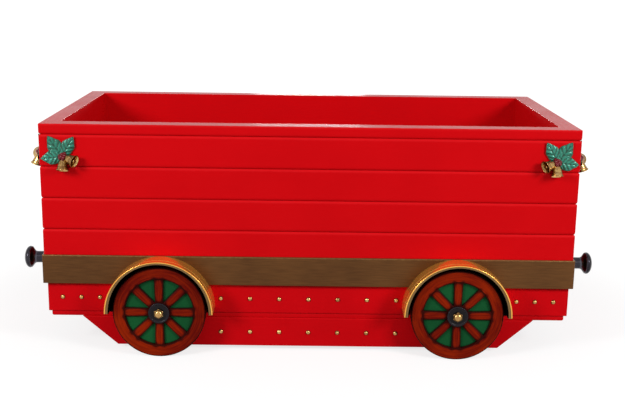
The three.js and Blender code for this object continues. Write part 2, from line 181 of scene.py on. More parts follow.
def revolved(path: Array, segments: int, start: float = 0.0) -> Array:
    """Turns a path about the z axis.

    Args:
        path: radius and height of each point.
        segments: how many copies stand round the axis.
        start: angle of the first one.

    Returns:
        An array (segments, points, 3) of (r cos a, r sin a, h).
    """
    angle = start + np.arange(segments)[:, None] * 2 * np.pi / segments
    radius, height = path[:, 0], np.broadcast_to(path[:, 1], (segments, len(path)))
    return np.stack([radius * np.cos(angle), radius * np.sin(angle), height], axis=-1)


class Form:
    """Grids of points gathered into one piece.

    Each point carries an edge value, 0 on open surface and 1 on an edge or in a corner, and a grain
    place: where it lies in a pattern that runs as the wood or the brush did.
    """

    def __init__(self) -> None:
        """Starts with no points."""
        self.points: list[Array] = []
        self.edges: list[Array] = []
        self.grains: list[Array] = []
        self.faces: list[list[int]] = []
        self.count = 0

    def _take(self, points: Array, edge: Array | float, grain: Array | None) -> Array:
        """Keeps points with their edge values and grain.

        Args:
            points: places, in an array whose last axis is x, y and z.
            edge: edge values, broadcast over the points.
            grain: grain places, or None for the points themselves.

        Returns:
            The points' numbers, in an array of their own shape.
        """
        shape = points.shape[:-1]
        index = np.arange(math.prod(shape)).reshape(shape) + self.count
        self.count += index.size
        self.points.append(points.reshape(-1, 3))
        self.edges.append(np.broadcast_to(edge, shape).reshape(-1))
        grain = points if grain is None else grain
        self.grains.append(np.broadcast_to(grain, points.shape).reshape(-1, 3))
        return index

    def grid(
        self,
        points: Array,
        edge: Array | float = 0.0,
        grain: Array | None = None,
        rows_close: bool = False,
        columns_close: bool = False,
    ) -> "Form":
        """Adds grids of four-sided faces between neighbouring points.

        Args:
            points: an array (..., rows, columns, 3). Axes before rows repeat the grid.
            edge: edge values, broadcast over the points.
            grain: grain places, or None for the points themselves.
            rows_close: whether the last row joins the first.
            columns_close: whether the last column joins the first.

        Returns:
            This form.
        """
        index = self._take(points, edge, grain)
        if rows_close:
            index = np.concatenate([index, index[..., :1, :]], axis=-2)
        if columns_close:
            index = np.concatenate([index, index[..., :1]], axis=-1)
        near, far = index[..., :-1, :], index[..., 1:, :]
        quads = np.stack([near[..., :-1], far[..., :-1], far[..., 1:], near[..., 1:]], axis=-1)
        self.faces += quads.reshape(-1, 4).tolist()
        return self

    def lid(self, loops: Array, edge: Array | float = 0.0, grain: Array | None = None) -> "Form":
        """Closes loops of points with one flat face each.

        Args:
            loops: an array (..., corners, 3).
            edge: edge values, broadcast over the points.
            grain: grain places, or None for the points themselves.

        Returns:
            This form.
        """
        index = self._take(loops, edge, grain)
        self.faces += index.reshape(-1, index.shape[-1]).tolist()
        return self

    def bar(
        self, points: Array, edge: Array | float, grain: Array | None = None, end: float = 0.0
    ) -> "Form":
        """Adds bars: sections closed round their corners, with lids on the first and the last.

        Args:
            points: an array (..., sections, corners, 3).
            edge: edge values, broadcast over the points.
            grain: grain places, or None for the points themselves.
            end: the edge value of both lids.

        Returns:
            This form.
        """
        grain = points if grain is None else grain
        self.grid(points, edge, grain, columns_close=True)
        for section in (0, -1):
            self.lid(points[..., section, :, :], end, grain[..., section, :, :])
        return self

    def piece(
        self, name: str, finish: "Finish", *nodes: str, body: str = BODY, crease: float = 33.0
    ) -> None:
        """Makes the object, closed, with its faces outwards.

        Args:
            name: the object's name.
            finish: its finish.
            nodes: the frame's nodes that it stands for.
            body: the frame's body that it moves with.
            crease: angle in degrees past which an edge stays sharp.
        """
        mesh = bpy.data.meshes.new(name)
        mesh.from_pydata(np.concatenate(self.points).tolist(), [], self.faces)
        for label, kind, key, values in (
            ("edge", "FLOAT", "value", self.edges),
            ("grain", "FLOAT_VECTOR", "vector", self.grains),
        ):
            flat = np.concatenate(values).astype(np.float32).ravel()
            mesh.attributes.new(label, kind, "POINT").data.foreach_set(key, flat)
        shell = bmesh.new()
        shell.from_mesh(mesh)
        bmesh.ops.remove_doubles(shell, verts=shell.verts, dist=WELD)
        bmesh.ops.recalc_face_normals(shell, faces=shell.faces)
        shell.to_mesh(mesh)
        shell.free()
        mesh.polygons.foreach_set("use_smooth", np.ones(len(mesh.polygons), bool))
        mesh.set_sharp_from_angle(angle=math.radians(crease))
        mesh.materials.append(finish.material())
        piece = bpy.data.objects.new(name, mesh)
        bpy.context.scene.collection.objects.link(piece)
        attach(piece, body)
        if nodes:
            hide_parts(*nodes)
        logging.info("%s: %d points, %s", name, len(mesh.vertices), finish.name)


# ---- Shader recipes -----------------------------------------------------------------------------


def linear(colour: Colour) -> tuple[float, float, float, float]:
    """Display values from 0 to 255 as the linear colour that shaders use.

    Up to 0.04045 a value is divided by 12.92. Past it, it is ((v + 0.055) / 1.055) ^ 2.4.

    Args:
        colour: red, green and blue.

    Returns:
        Red, green, blue and a full alpha.
    """
    shown = np.array(colour) / 255
    value = np.where(shown <= 0.04045, shown / 12.92, ((shown + 0.055) / 1.055) ** 2.4)
    return (*value.tolist(), 1.0)


class Recipe:
    """Short calls that lay out a node tree."""

    def __init__(self, tree: bpy.types.NodeTree) -> None:
        """Works on the given tree."""
        self.tree = tree

    def node(self, kind: str, inputs: dict | None = None, **settings: object) -> bpy.types.Node:
        """Adds a node.

        Args:
            kind: its type.
            inputs: a socket or a plain value for each input that is set, by name or number.
            settings: the node's own options.

        Returns:
            The node.
        """
        made = self.tree.nodes.new(kind)
        for option, value in settings.items():
            setattr(made, option, value)
        for key, value in (inputs or {}).items():
            if isinstance(value, Socket):
                self.tree.links.new(value, made.inputs[key])
            else:
                made.inputs[key].default_value = value
        return made

    def noise(self, place: Socket, scale: Value, detail: float = 2.0) -> Socket:
        """A noise value about 0.5 at a place."""
        inputs = {"Vector": place, "Scale": scale, "Detail": detail}
        return self.node("ShaderNodeTexNoise", inputs).outputs[0]

    def math(self, operation: str, a: Value, b: Value = 0.0, clamp: bool = False) -> Socket:
        """One sum of two values or sockets."""
        inputs = {0: a, 1: b}
        return self.node("ShaderNodeMath", inputs, operation=operation, use_clamp=clamp).outputs[0]

    def mix(self, share: Value, a: Value, b: Value) -> Socket:
        """Colour a turning to colour b as share goes from 0 to 1."""
        inputs = {0: share, 6: a, 7: b}
        return self.node("ShaderNodeMix", inputs, data_type="RGBA").outputs[2]

    def step(
        self, value: Value, low: float, high: float, start: float = 0.0, end: float = 1.0
    ) -> Socket:
        """Eases a result from one value to another.

        Args:
            value: the value that it follows.
            low: the value where easing starts.
            high: the value where it ends.
            start: the result up to low.
            end: the result from high on.

        Returns:
            The result.
        """
        inputs = {0: value, 1: low, 2: high, 3: start, 4: end}
        node = self.node("ShaderNodeMapRange", inputs, interpolation_type="SMOOTHSTEP")
        return node.outputs[0]

    def attribute(self, name: str, output: str) -> Socket:
        """A value or vector that the piece's own points carry."""
        return self.node("ShaderNodeAttribute", attribute_name=name).outputs[output]

    def place(self) -> Socket:
        """Object coordinates."""
        return self.node("ShaderNodeTexCoord").outputs["Object"]

    def bump(self, height: Socket, depth: float) -> Socket:
        """A normal tilted by a height from 0 to 1 that stands for the given depth."""
        inputs = {"Strength": 1.0, "Distance": depth, "Height": height}
        return self.node("ShaderNodeBump", inputs).outputs[0]

    def group(self, tree: bpy.types.NodeTree, **inputs: Value) -> bpy.types.Node:
        """Places a node group, with a socket or a value for each of its inputs."""
        return self.node("ShaderNodeGroup", inputs, node_tree=tree)


def new_group(
    name: str, inputs: dict[str, str], outputs: dict[str, str]
) -> tuple[Recipe, bpy.types.bpy_prop_collection, Callable[[str, Socket], None]]:
    """Starts a shader node group.

    Args:
        name: the group's name.
        inputs: its inputs, each with its kind: Float, Vector or Color.
        outputs: its outputs, in the same way.

    Returns:
        The recipe to fill, its input sockets by name, and a function that sets an output.
    """
    tree = bpy.data.node_groups.new(name, "ShaderNodeTree")
    for sockets, way in ((inputs, "INPUT"), (outputs, "OUTPUT")):
        for label, kind in sockets.items():
            tree.interface.new_socket(label, in_out=way, socket_type=f"NodeSocket{kind}")
    recipe = Recipe(tree)
    given = recipe.node("NodeGroupInput").outputs
    result = recipe.node("NodeGroupOutput").inputs

    def put(label: str, socket: Socket) -> None:
        """Links a socket to one of the group's outputs."""
        tree.links.new(socket, result[label])

    return recipe, given, put


@cache
def brushwork() -> bpy.types.NodeTree:
    """Brushed or rubbed colour: fine streaks along the grain, broad patches and a fine skin.

    The shade's share is Streaks times a drawn-out noise plus Mottle times a broad one. Height adds
    the streaks to a fine even skin, and Dullness follows the patches.

    Returns:
        The node group.
    """
    inputs = {
        "Grain": "Vector", "Place": "Vector", "Body": "Color",
        "Shade": "Color", "Streaks": "Float", "Mottle": "Float",
    }
    outputs = {"Colour": "Color", "Height": "Float", "Dullness": "Float"}
    recipe, given, put = new_group("brushwork", inputs, outputs)
    streak = recipe.step(recipe.noise(given["Grain"], 330, 3), 0.3, 0.72)
    patch = recipe.step(recipe.noise(given["Place"], 9, 2), 0.32, 0.7)
    skin = recipe.noise(given["Place"], 620, 1)
    streak_share = recipe.math("MULTIPLY", streak, given["Streaks"])
    patch_share = recipe.math("MULTIPLY", patch, given["Mottle"])
    share = recipe.math("ADD", streak_share, patch_share, clamp=True)
    put("Colour", recipe.mix(share, given["Body"], given["Shade"]))
    put("Height", recipe.math("ADD", recipe.math("MULTIPLY", streak, given["Streaks"]), skin))
    put("Dullness", recipe.math("SUBTRACT", recipe.math("ADD", patch, streak), 1.0))
    return recipe.tree


@cache
def broken_edge() -> bpy.types.NodeTree:
    """Where wear, glaze, patina, painted highlights and painted shade gather: the edge value,
    broken up by noise.

    Mask eases from 0 to 1 as Edge + Breakup * (noise - 0.5) goes from 0.2 to 0.9.

    Returns:
        The node group.
    """
    inputs = {"Edge": "Float", "Place": "Vector", "Scale": "Float", "Breakup": "Float"}
    recipe, given, put = new_group("broken_edge", inputs, {"Mask": "Float"})
    noise = recipe.noise(given["Place"], given["Scale"], 3)
    lift = recipe.math("MULTIPLY", recipe.math("SUBTRACT", noise, 0.5), given["Breakup"])
    put("Mask", recipe.step(recipe.math("ADD", given["Edge"], lift), 0.2, 0.9))
    return recipe.tree


@dataclass(frozen=True)
class Finish:
    """A painted, glazed or metal surface.

    The body colour carries streaks and patches of a shade, and its edges or hollows turn to an edge
    colour, which on some finishes is a painted highlight or painted shade, as each one notes. The
    same layout serves satin paint, antique glaze, lacquer, enamel and metal, with each one's own
    colours and amounts.
    """

    name: str
    slot: str
    body: Colour
    shade: Colour
    edge: Colour
    streaks: float = 0.3
    mottle: float = 0.3
    edging: float = 0.5  # how far the edges turn to the edge colour
    breakup: float = 0.8
    breakup_scale: float = 120.0
    roughness: float = 0.36
    edge_roughness: float = 0.36
    dullness: float = 0.08  # how far patches change the roughness
    metallic: float = 0.0
    specular: float = 0.1
    varnish: float = 0.0  # how far a clear coat shows at a grazing angle
    relief: float = 0.00006  # depth of the streaks and skin

    @cache
    def material(self) -> bpy.types.Material:
        """Builds the material once.

        Returns:
            A principled shader fed by the brushwork and the broken edges.
        """
        made = bpy.data.materials.new(self.name)
        made.use_nodes = True
        made.node_tree.nodes.clear()
        recipe = Recipe(made.node_tree)
        place = recipe.place()
        brushed = recipe.group(
            brushwork(),
            Grain=recipe.attribute("grain", "Vector"),
            Place=place,
            Body=linear(self.body),
            Shade=linear(self.shade),
            Streaks=self.streaks,
            Mottle=self.mottle,
        ).outputs
        mask = recipe.group(
            broken_edge(),
            Edge=recipe.attribute("edge", "Fac"),
            Place=place,
            Scale=self.breakup_scale,
            Breakup=self.breakup,
        ).outputs["Mask"]
        share = recipe.math("MULTIPLY", mask, self.edging)
        colour = recipe.mix(share, brushed["Colour"], linear(self.edge))
        base = recipe.step(mask, 0.0, 1.0, self.roughness, self.edge_roughness)
        change = recipe.math("MULTIPLY", brushed["Dullness"], self.dullness)
        facing = recipe.node("ShaderNodeLayerWeight", {"Blend": 0.5}).outputs["Facing"]
        shader = recipe.node(
            "ShaderNodeBsdfPrincipled",
            {
                "Base Color": colour,
                "Roughness": recipe.math("ADD", base, change, clamp=True),
                "Normal": recipe.bump(brushed["Height"], self.relief),
                "Metallic": self.metallic,
                "Specular IOR Level": self.specular,
                "Coat Weight": recipe.step(facing, 0.4, 0.75, 0.0, self.varnish),
                "Coat Roughness": 0.12,
                "Coat Tint": (1.0, 0.97, 1.0, 1.0),
            },
        )
        recipe.node("ShaderNodeOutputMaterial", {"Surface": shader.outputs[0]})
        return made


# Lighter edge colour: rubbed paint and a painted highlight, kept to the upper edges.
RED_PAINT = Finish(
    "satin_red_paint", "red_paint", body=(207, 9, 16), shade=(196, 6, 13), edge=(224, 34, 40),
    streaks=0.12, mottle=0.3, edging=0.3, roughness=0.34, edge_roughness=0.28, specular=0.03,
    varnish=0.24,
)
# Lighter edge colour: rubbed paint and a painted highlight, kept to the upper edges.
DARK_RED_PAINT = Finish(
    "dark_red_paint", "dark_red_paint", body=(206, 8, 17), shade=(190, 6, 14), edge=(216, 26, 32),
    streaks=0.15, mottle=0.4, edging=0.3, roughness=0.36, edge_roughness=0.3, specular=0.03,
    varnish=0.26,
)
# Lighter edge colour: rubbed gilding and a painted highlight on the upper edges.
GOLD_PAINT = Finish(
    "antique_gold_paint", "gold_paint", body=(98, 64, 34), shade=(72, 45, 24), edge=(142, 108, 66),
    streaks=0.4, mottle=0.4, edging=0.5, breakup=1.4, roughness=0.42, edge_roughness=0.34,
    metallic=0.8, specular=0.2, relief=0.00012,
)
GILT = Finish(
    "polished_gilt", "gilt", body=(248, 186, 84), shade=(220, 140, 46), edge=(116, 88, 48),
    streaks=0.3, mottle=0.4, edging=1.0, breakup=0.1, roughness=0.2, edge_roughness=0.42,
    dullness=0.04, metallic=0.7, specular=0.8, relief=0.00001,
)
WHEEL_WOOD = Finish(
    "antiqued_wheel_wood", "wheel_wood", body=(150, 38, 6), shade=(98, 13, 7), edge=(32, 5, 5),
    streaks=0.55, mottle=0.6, edging=0.9, breakup=0.5, breakup_scale=70, roughness=0.4,
    edge_roughness=0.46, specular=0.03, relief=0.0001,
)
GREEN_PAINT = Finish(
    "matt_green_paint", "green_paint", body=(24, 88, 46), shade=(16, 66, 36), edge=(6, 24, 14),
    streaks=0.2, mottle=0.6, edging=0.8, breakup=0.5, breakup_scale=100, roughness=0.55,
    edge_roughness=0.6, specular=0.04, relief=0.0001,
)
# Lighter edge colour: a painted highlight on the hub's edges and raised ring.
BLACK_LACQUER = Finish(
    "gloss_black_lacquer", "black_lacquer", body=(18, 15, 18), shade=(9, 7, 10), edge=(44, 40, 48),
    streaks=0.1, mottle=0.6, edging=0.6, breakup=0.9, breakup_scale=160, roughness=0.2,
    edge_roughness=0.26, specular=0.14, relief=0.00003, varnish=0.6,
)
BLACKENED_METAL = Finish(
    "blackened_metal", "black_lacquer", body=(58, 56, 62), shade=(26, 24, 28), edge=(104, 102, 110),
    streaks=0.3, mottle=0.7, edging=0.5, breakup=0.9, breakup_scale=160, roughness=0.24,
    edge_roughness=0.3, metallic=1.0, relief=0.00004,
)
# A flat black that makes the gap round each wheel, and the boards behind it, black.
BLACK_LINING = Finish(
    "black_lining_paint", "black_lacquer", body=(7, 6, 7), shade=(4, 4, 4), edge=(12, 11, 12),
    streaks=0.2, mottle=0.4, roughness=0.6, edge_roughness=0.6, specular=0.0,
)
BRASS = Finish(
    "aged_brass", "brass", body=(206, 168, 106), shade=(146, 108, 62), edge=(70, 44, 22),
    streaks=0.3, mottle=0.7, edging=0.85, breakup=0.6, breakup_scale=320, roughness=0.2,
    edge_roughness=0.36, metallic=1.0, relief=0.00003,
)
# Dark edge colour: painted shade inside each bell, and a turned band round its outside.
BELL_METAL = Finish(
    "old_gold_bells", "gilt", body=(222, 186, 120), shade=(112, 76, 38), edge=(92, 38, 20),
    streaks=0.5, mottle=0.8, edging=0.9, breakup=0.8, breakup_scale=240, roughness=0.2,
    edge_roughness=0.32, metallic=1.0, relief=0.00012,
)
AXLE_STEEL = Finish(
    "bright_drawn_steel", "axle_steel", body=(150, 152, 156), shade=(112, 112, 116),
    edge=(90, 84, 80), streaks=0.5, mottle=0.3, roughness=0.3, metallic=1.0,
)
# Dark edge colour: painted shade in the veins, along the midribs, round the margins and under the
# leaves.
HOLLY_ENAMEL = Finish(
    "holly_enamel", "holly_enamel", body=(48, 156, 134), shade=(16, 106, 82), edge=(4, 62, 42),
    streaks=0.3, mottle=0.7, edging=1.0, breakup=1.0, breakup_scale=420, roughness=0.24,
    edge_roughness=0.42, metallic=0.3, specular=0.6, relief=0.00022,
)
# Near-black edge colour: painted shade between the berries and on the core beneath them.
BERRY_ENAMEL = Finish(
    "berry_enamel", "dark_red_paint", body=(118, 6, 22), shade=(86, 3, 14), edge=(24, 1, 5),
    streaks=0.1, mottle=0.5, edging=0.9, breakup=0.4, breakup_scale=400, roughness=0.2,
    edge_roughness=0.35, specular=0.3,
)


# ---- The box and chassis ------------------------------------------------------------------------


@dataclass
class BoardFrame:
    """Four boards round the wagon, mitred where they meet."""

    half_length: float
    half_width: float
    thickness: float
    bottom: float
    top: float
    low_ease: float  # rounding of the lower outer edge
    high_ease: float  # rounding of the upper outer edge
    inner_ease: float = 0.0  # rounding of the upper inner edge
    corner: float = 0.0055  # radius of the upright corners
    corner_steps: int = 6

    @classmethod
    def of(cls, suffix: str, **eases: float) -> "BoardFrame":
        """Takes the size of one of the frame's own four-sided frames, such as the rim."""
        front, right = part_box(f"front_{suffix}"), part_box(f"right_{suffix}")
        return cls(
            half_length=right[1].x,
            half_width=-front[0].y,
            thickness=front[1].y - front[0].y,
            bottom=front[0].z - JOINT,
            top=front[1].z,
            **eases,
        )

    def section(self) -> tuple[Array, Array]:
        """The board's section as a closed path of (inset, height), with its edge values.

        The lower edges face down and keep their edge value at 0, so the lighter edge colour, partly
        a painted highlight, stays on the upper edges.
        """
        path, edge = eased(
            [
                (0, self.bottom, self.low_ease),
                (0, self.top, self.high_ease),
                (self.thickness, self.top, self.inner_ease),
                (self.thickness, self.bottom, 0),
            ],
            closed=True,
        )
        return path, np.where(path[:, 1] < (self.bottom + self.top) / 2, 0.0, edge)

    def board(
        self, side: Side, name: str, finish: Finish, *nodes: str, spread: float = 0.0
    ) -> None:
        """Makes one side's board.

        The outline at an inset d is a rectangle drawn in by d, whose corners have the radius
        max(corner - d, 0). The board follows it from one mitre to the other, an eighth of a turn
        at each end.

        Args:
            side: the side it stands on.
            name: the piece's name.
            finish: its finish.
            nodes: the frame's nodes that it stands for.
            spread: how far its grain is moved, so that no two boards look alike.
        """
        run, reach = self.half_length, self.half_width
        if side.is_end:
            run, reach = reach, run
        path, edge = self.section()
        inset, height = path[:, 0], path[:, 1]
        arc = np.linspace(0, np.pi / 4, self.corner_steps)
        angle = np.concatenate([-arc[::-1], arc])[:, None]
        hand = np.repeat([-1.0, 1.0], self.corner_steps)[:, None]
        reserve = np.maximum(inset, self.corner)
        radius = np.maximum(self.corner - inset, 0)
        x = hand * (run - reserve) + radius * np.sin(angle)
        y = reserve - reach - radius * np.cos(angle)
        z = np.broadcast_to(height, x.shape)
        points = np.stack([x, y, z], axis=-1)
        shift = spread + 2.3 * side.value
        grain = np.stack([x / STRETCH + shift, z + shift, np.broadcast_to(inset, x.shape)], axis=-1)
        tone = np.broadcast_to(edge, x.shape)
        Form().bar(side.turn(points), tone, grain).piece(name, finish, *nodes)


def slab(outline: Array, path: Array, edge: Array) -> tuple[Array, Array]:
    """A plate with worked edges.

    Each corner of the outline moves inwards by inset * (n1 + n2) / (1 + n1.n2), where n1 and n2
    are the outward normals of its two sides.

    Args:
        outline: corners (n, 2) of a convex outline, anticlockwise.
        path: inset and depth at each level (m, 2).
        edge: edge value at each level.

    Returns:
        Points (levels, corners, 3) as (first, second, depth), and their edge values.
    """
    along = np.roll(outline, -1, axis=0) - outline
    normal = np.stack([along[:, 1], -along[:, 0]], axis=1)
    normal /= np.linalg.norm(normal, axis=1, keepdims=True)
    before = np.roll(normal, 1, axis=0)
    move = (before + normal) / (1 + (before * normal).sum(axis=1, keepdims=True))
    flat = outline[None] - path[:, :1, None] * move[None]
    depth = np.broadcast_to(path[:, 1][:, None, None], (*flat.shape[:2], 1))
    return np.concatenate([flat, depth], axis=-1), np.broadcast_to(edge[:, None], flat.shape[:2])


def plate(
    outline: Array, near: float, far: float, ease: float, margin: float = MARGIN
) -> tuple[Array, Array]:
    """A slab with the same easing on both faces.

    An outline with rounded corners needs them larger than ease + 2 * margin.

    Args:
        outline: corners (n, 2) of a convex outline, anticlockwise.
        near: the depth of one face.
        far: the depth of the other.
        ease: the easing distance of both.
        margin: how much of the flat beside it shares in its edge tone.

    Returns:
        Points (levels, corners, 3) as (first, second, depth), and their edge values.
    """
    inset = ease + 2 * margin
    corners = [(inset, near, 0), (0, near, ease), (0, far, ease), (inset, far, 0)]
    return slab(outline, *eased(corners, margin=margin))


def rectangle(x: float, y: float, corner: float) -> Array:
    """The outline of a rectangle about the origin, half x by half y, with eased corners."""
    corners = [(-x, -y, corner), (x, -y, corner), (x, y, corner), (-x, y, corner)]
    return eased(corners, closed=True, margin=0.0)[0]


@dataclass
class Box:
    """The open box: side and end planks, the rim on them and the floor in them."""

    low_ease: float = 0.0066  # under each plank, the shadowed side of the groove
    high_ease: float = 0.0050  # on top of each plank, the bright side
    rim_ease: float = 0.0028
    inner_ease: float = 0.0008  # along the rim's inner edge
    floor_ease: float = 0.001
    seat_ease: float = 0.0006  # under the lowest plank, which sits on the belt board
    plank_count: int = 4

    def build(self) -> None:
        """Makes the planks, the rim and the floor."""
        half_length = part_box("right_end_panel")[1].x
        for level in range(1, self.plank_count + 1):
            low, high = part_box(f"front_plank_{level}")
            layer = BoardFrame(
                half_length, -low.y, high.y - low.y, low.z - JOINT, high.z,
                self.seat_ease if level == 1 else self.low_ease, self.high_ease,
            )
            for side in Side:
                place = f"{side.label}_plank_{level}"
                node = f"{side.label}_end_panel" if side.is_end else place
                layer.board(side, f"{place}_board", RED_PAINT, node, spread=0.7 * level)
        rim = BoardFrame.of(
            "rim", low_ease=self.low_ease, high_ease=self.rim_ease, inner_ease=self.inner_ease
        )
        for side in Side:
            node = f"{side.label}_rim"
            rim.board(side, f"{node}_board", RED_PAINT, node, spread=5.1)
        self.floor()

    def floor(self) -> None:
        """Lays the floor board between the walls."""
        low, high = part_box("floor_board")
        points, edge = plate(rectangle(high.x, high.y, 0.0), low.z, high.z, self.floor_ease)
        form = Form().bar(points, edge, points * LENGTHWISE)
        form.piece("floor_board_painted", RED_PAINT, "floor_board")


@dataclass
class Chassis:
    """Belt boards, sole bars, base board and skirts, with their rows of nails."""

    belt_ease: float = 0.0016
    belt_seat: float = 0.0006  # under the belt board
    lining: float = 0.0012  # red boards over the belt boards' inner faces, half let in
    sole_ease: float = 0.0012
    base_ease: float = 0.0042
    skirt_ease: float = 0.0016
    nail_radius: float = 0.005
    nail_height: float = 0.0038
    nail_pitch: float = 0.067  # between the wheels
    end_pitch: float = 0.0425  # outside the wheels
    end_inset: float = 0.0335  # of the last nail from the sole bar's end
    middle_nails: int = 7
    end_nails: int = 3

    def build(self) -> None:
        """Makes the boards and drives the nails."""
        belt = BoardFrame.of(
            "belt_board", low_ease=self.belt_seat, high_ease=self.belt_ease, corner=0.0025
        )
        sole = BoardFrame.of(
            "sole_bar", low_ease=self.sole_ease, high_ease=self.sole_ease, corner=0.002
        )
        for side in Side:
            name = f"{side.label}_belt_board"
            belt.board(side, f"{name}_gilded", GOLD_PAINT, name, spread=9.3)
            name = f"{side.label}_sole_bar"
            sole.board(side, f"{name}_painted", DARK_RED_PAINT, name, spread=11.7)
        inset = belt.thickness - self.lining / 2
        lining = BoardFrame(
            belt.half_length - inset, belt.half_width - inset, self.lining,
            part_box("floor_board")[1].z, belt.top, low_ease=0.0, high_ease=0.0, corner=0.0,
        )
        for side in Side:
            lining.board(side, f"{side.label}_inner_skirting", RED_PAINT, spread=13.1)
        self.base()
        for side in (Side.FRONT, Side.BACK):
            self.skirt(side)
            self.nails(side)

    def base(self) -> None:
        """The board under the sole bars."""
        low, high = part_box("base_board")
        outline = rectangle(high.x, high.y, 0.007)
        points, edge = plate(outline, low.z - JOINT, high.z + JOINT, self.base_ease, 0.0012)
        form = Form().bar(points, edge, points * LENGTHWISE)
        form.piece("base_board_painted", DARK_RED_PAINT, "base_board")

    def skirt(self, side: Side) -> None:
        """The skirt between the wheels, with its ends cut at a slant.

        Args:
            side: the side that it hangs under.
        """
        name = f"{side.label}_skirt"
        low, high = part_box("front_skirt")
        corners = np.array([v.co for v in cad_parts["front_skirt"].data.vertices])
        toe = np.abs(corners[corners[:, 2] < low.z + WELD, 0]).max()
        top = high.z + JOINT
        outline = np.array([(-toe, low.z), (toe, low.z), (high.x, top), (low.x, top)])
        points, edge = plate(outline, low.y, high.y, self.skirt_ease)
        points = side.turn(points[..., [0, 2, 1]])
        form = Form().bar(points, edge, points * LENGTHWISE)
        form.piece(f"{name}_painted", DARK_RED_PAINT, name)

    def nails(self, side: Side) -> None:
        """Rows of round-headed nails along the sole bar and the skirt.

        Args:
            side: the side that they are driven into.
        """
        sole_low, sole_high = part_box("front_sole_bar")
        skirt_low, skirt_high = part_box("front_skirt")
        middle = (np.arange(self.middle_nails) - (self.middle_nails - 1) / 2) * self.nail_pitch
        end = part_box("right_sole_bar")[1].x - self.end_inset
        outer = end - np.arange(self.end_nails) * self.end_pitch
        upper = np.concatenate([-outer, middle, outer])
        rows = (
            ("sole", upper, (sole_low.z + sole_high.z) / 2 - 0.001, sole_low.y),
            ("skirt", middle, (skirt_low.z + skirt_high.z) / 2, skirt_low.y),
        )
        rise = np.linspace(0, np.pi / 2, 7)
        dome = np.stack([self.nail_radius * np.cos(rise), self.nail_height * np.sin(rise)], axis=1)
        rim = [[0, -0.001], [self.nail_radius * 1.06, -0.001], [self.nail_radius * 1.06, 0.0002]]
        path = np.concatenate([rim, dome])
        edge = np.concatenate([[1, 1, 1], np.linspace(1, 0, 7) ** 2])
        for row, places, height, face in rows:
            origin = np.array([[x, face, height] for x in places])
            heads = aim(revolved(path, 20), origin[:, None, None], np.array([0, -1, 0]))
            form = Form().grid(side.turn(heads), edge, rows_close=True)
            form.piece(f"{side.label}_{row}_nails", BRASS)


# ---- Running gear -------------------------------------------------------------------------------


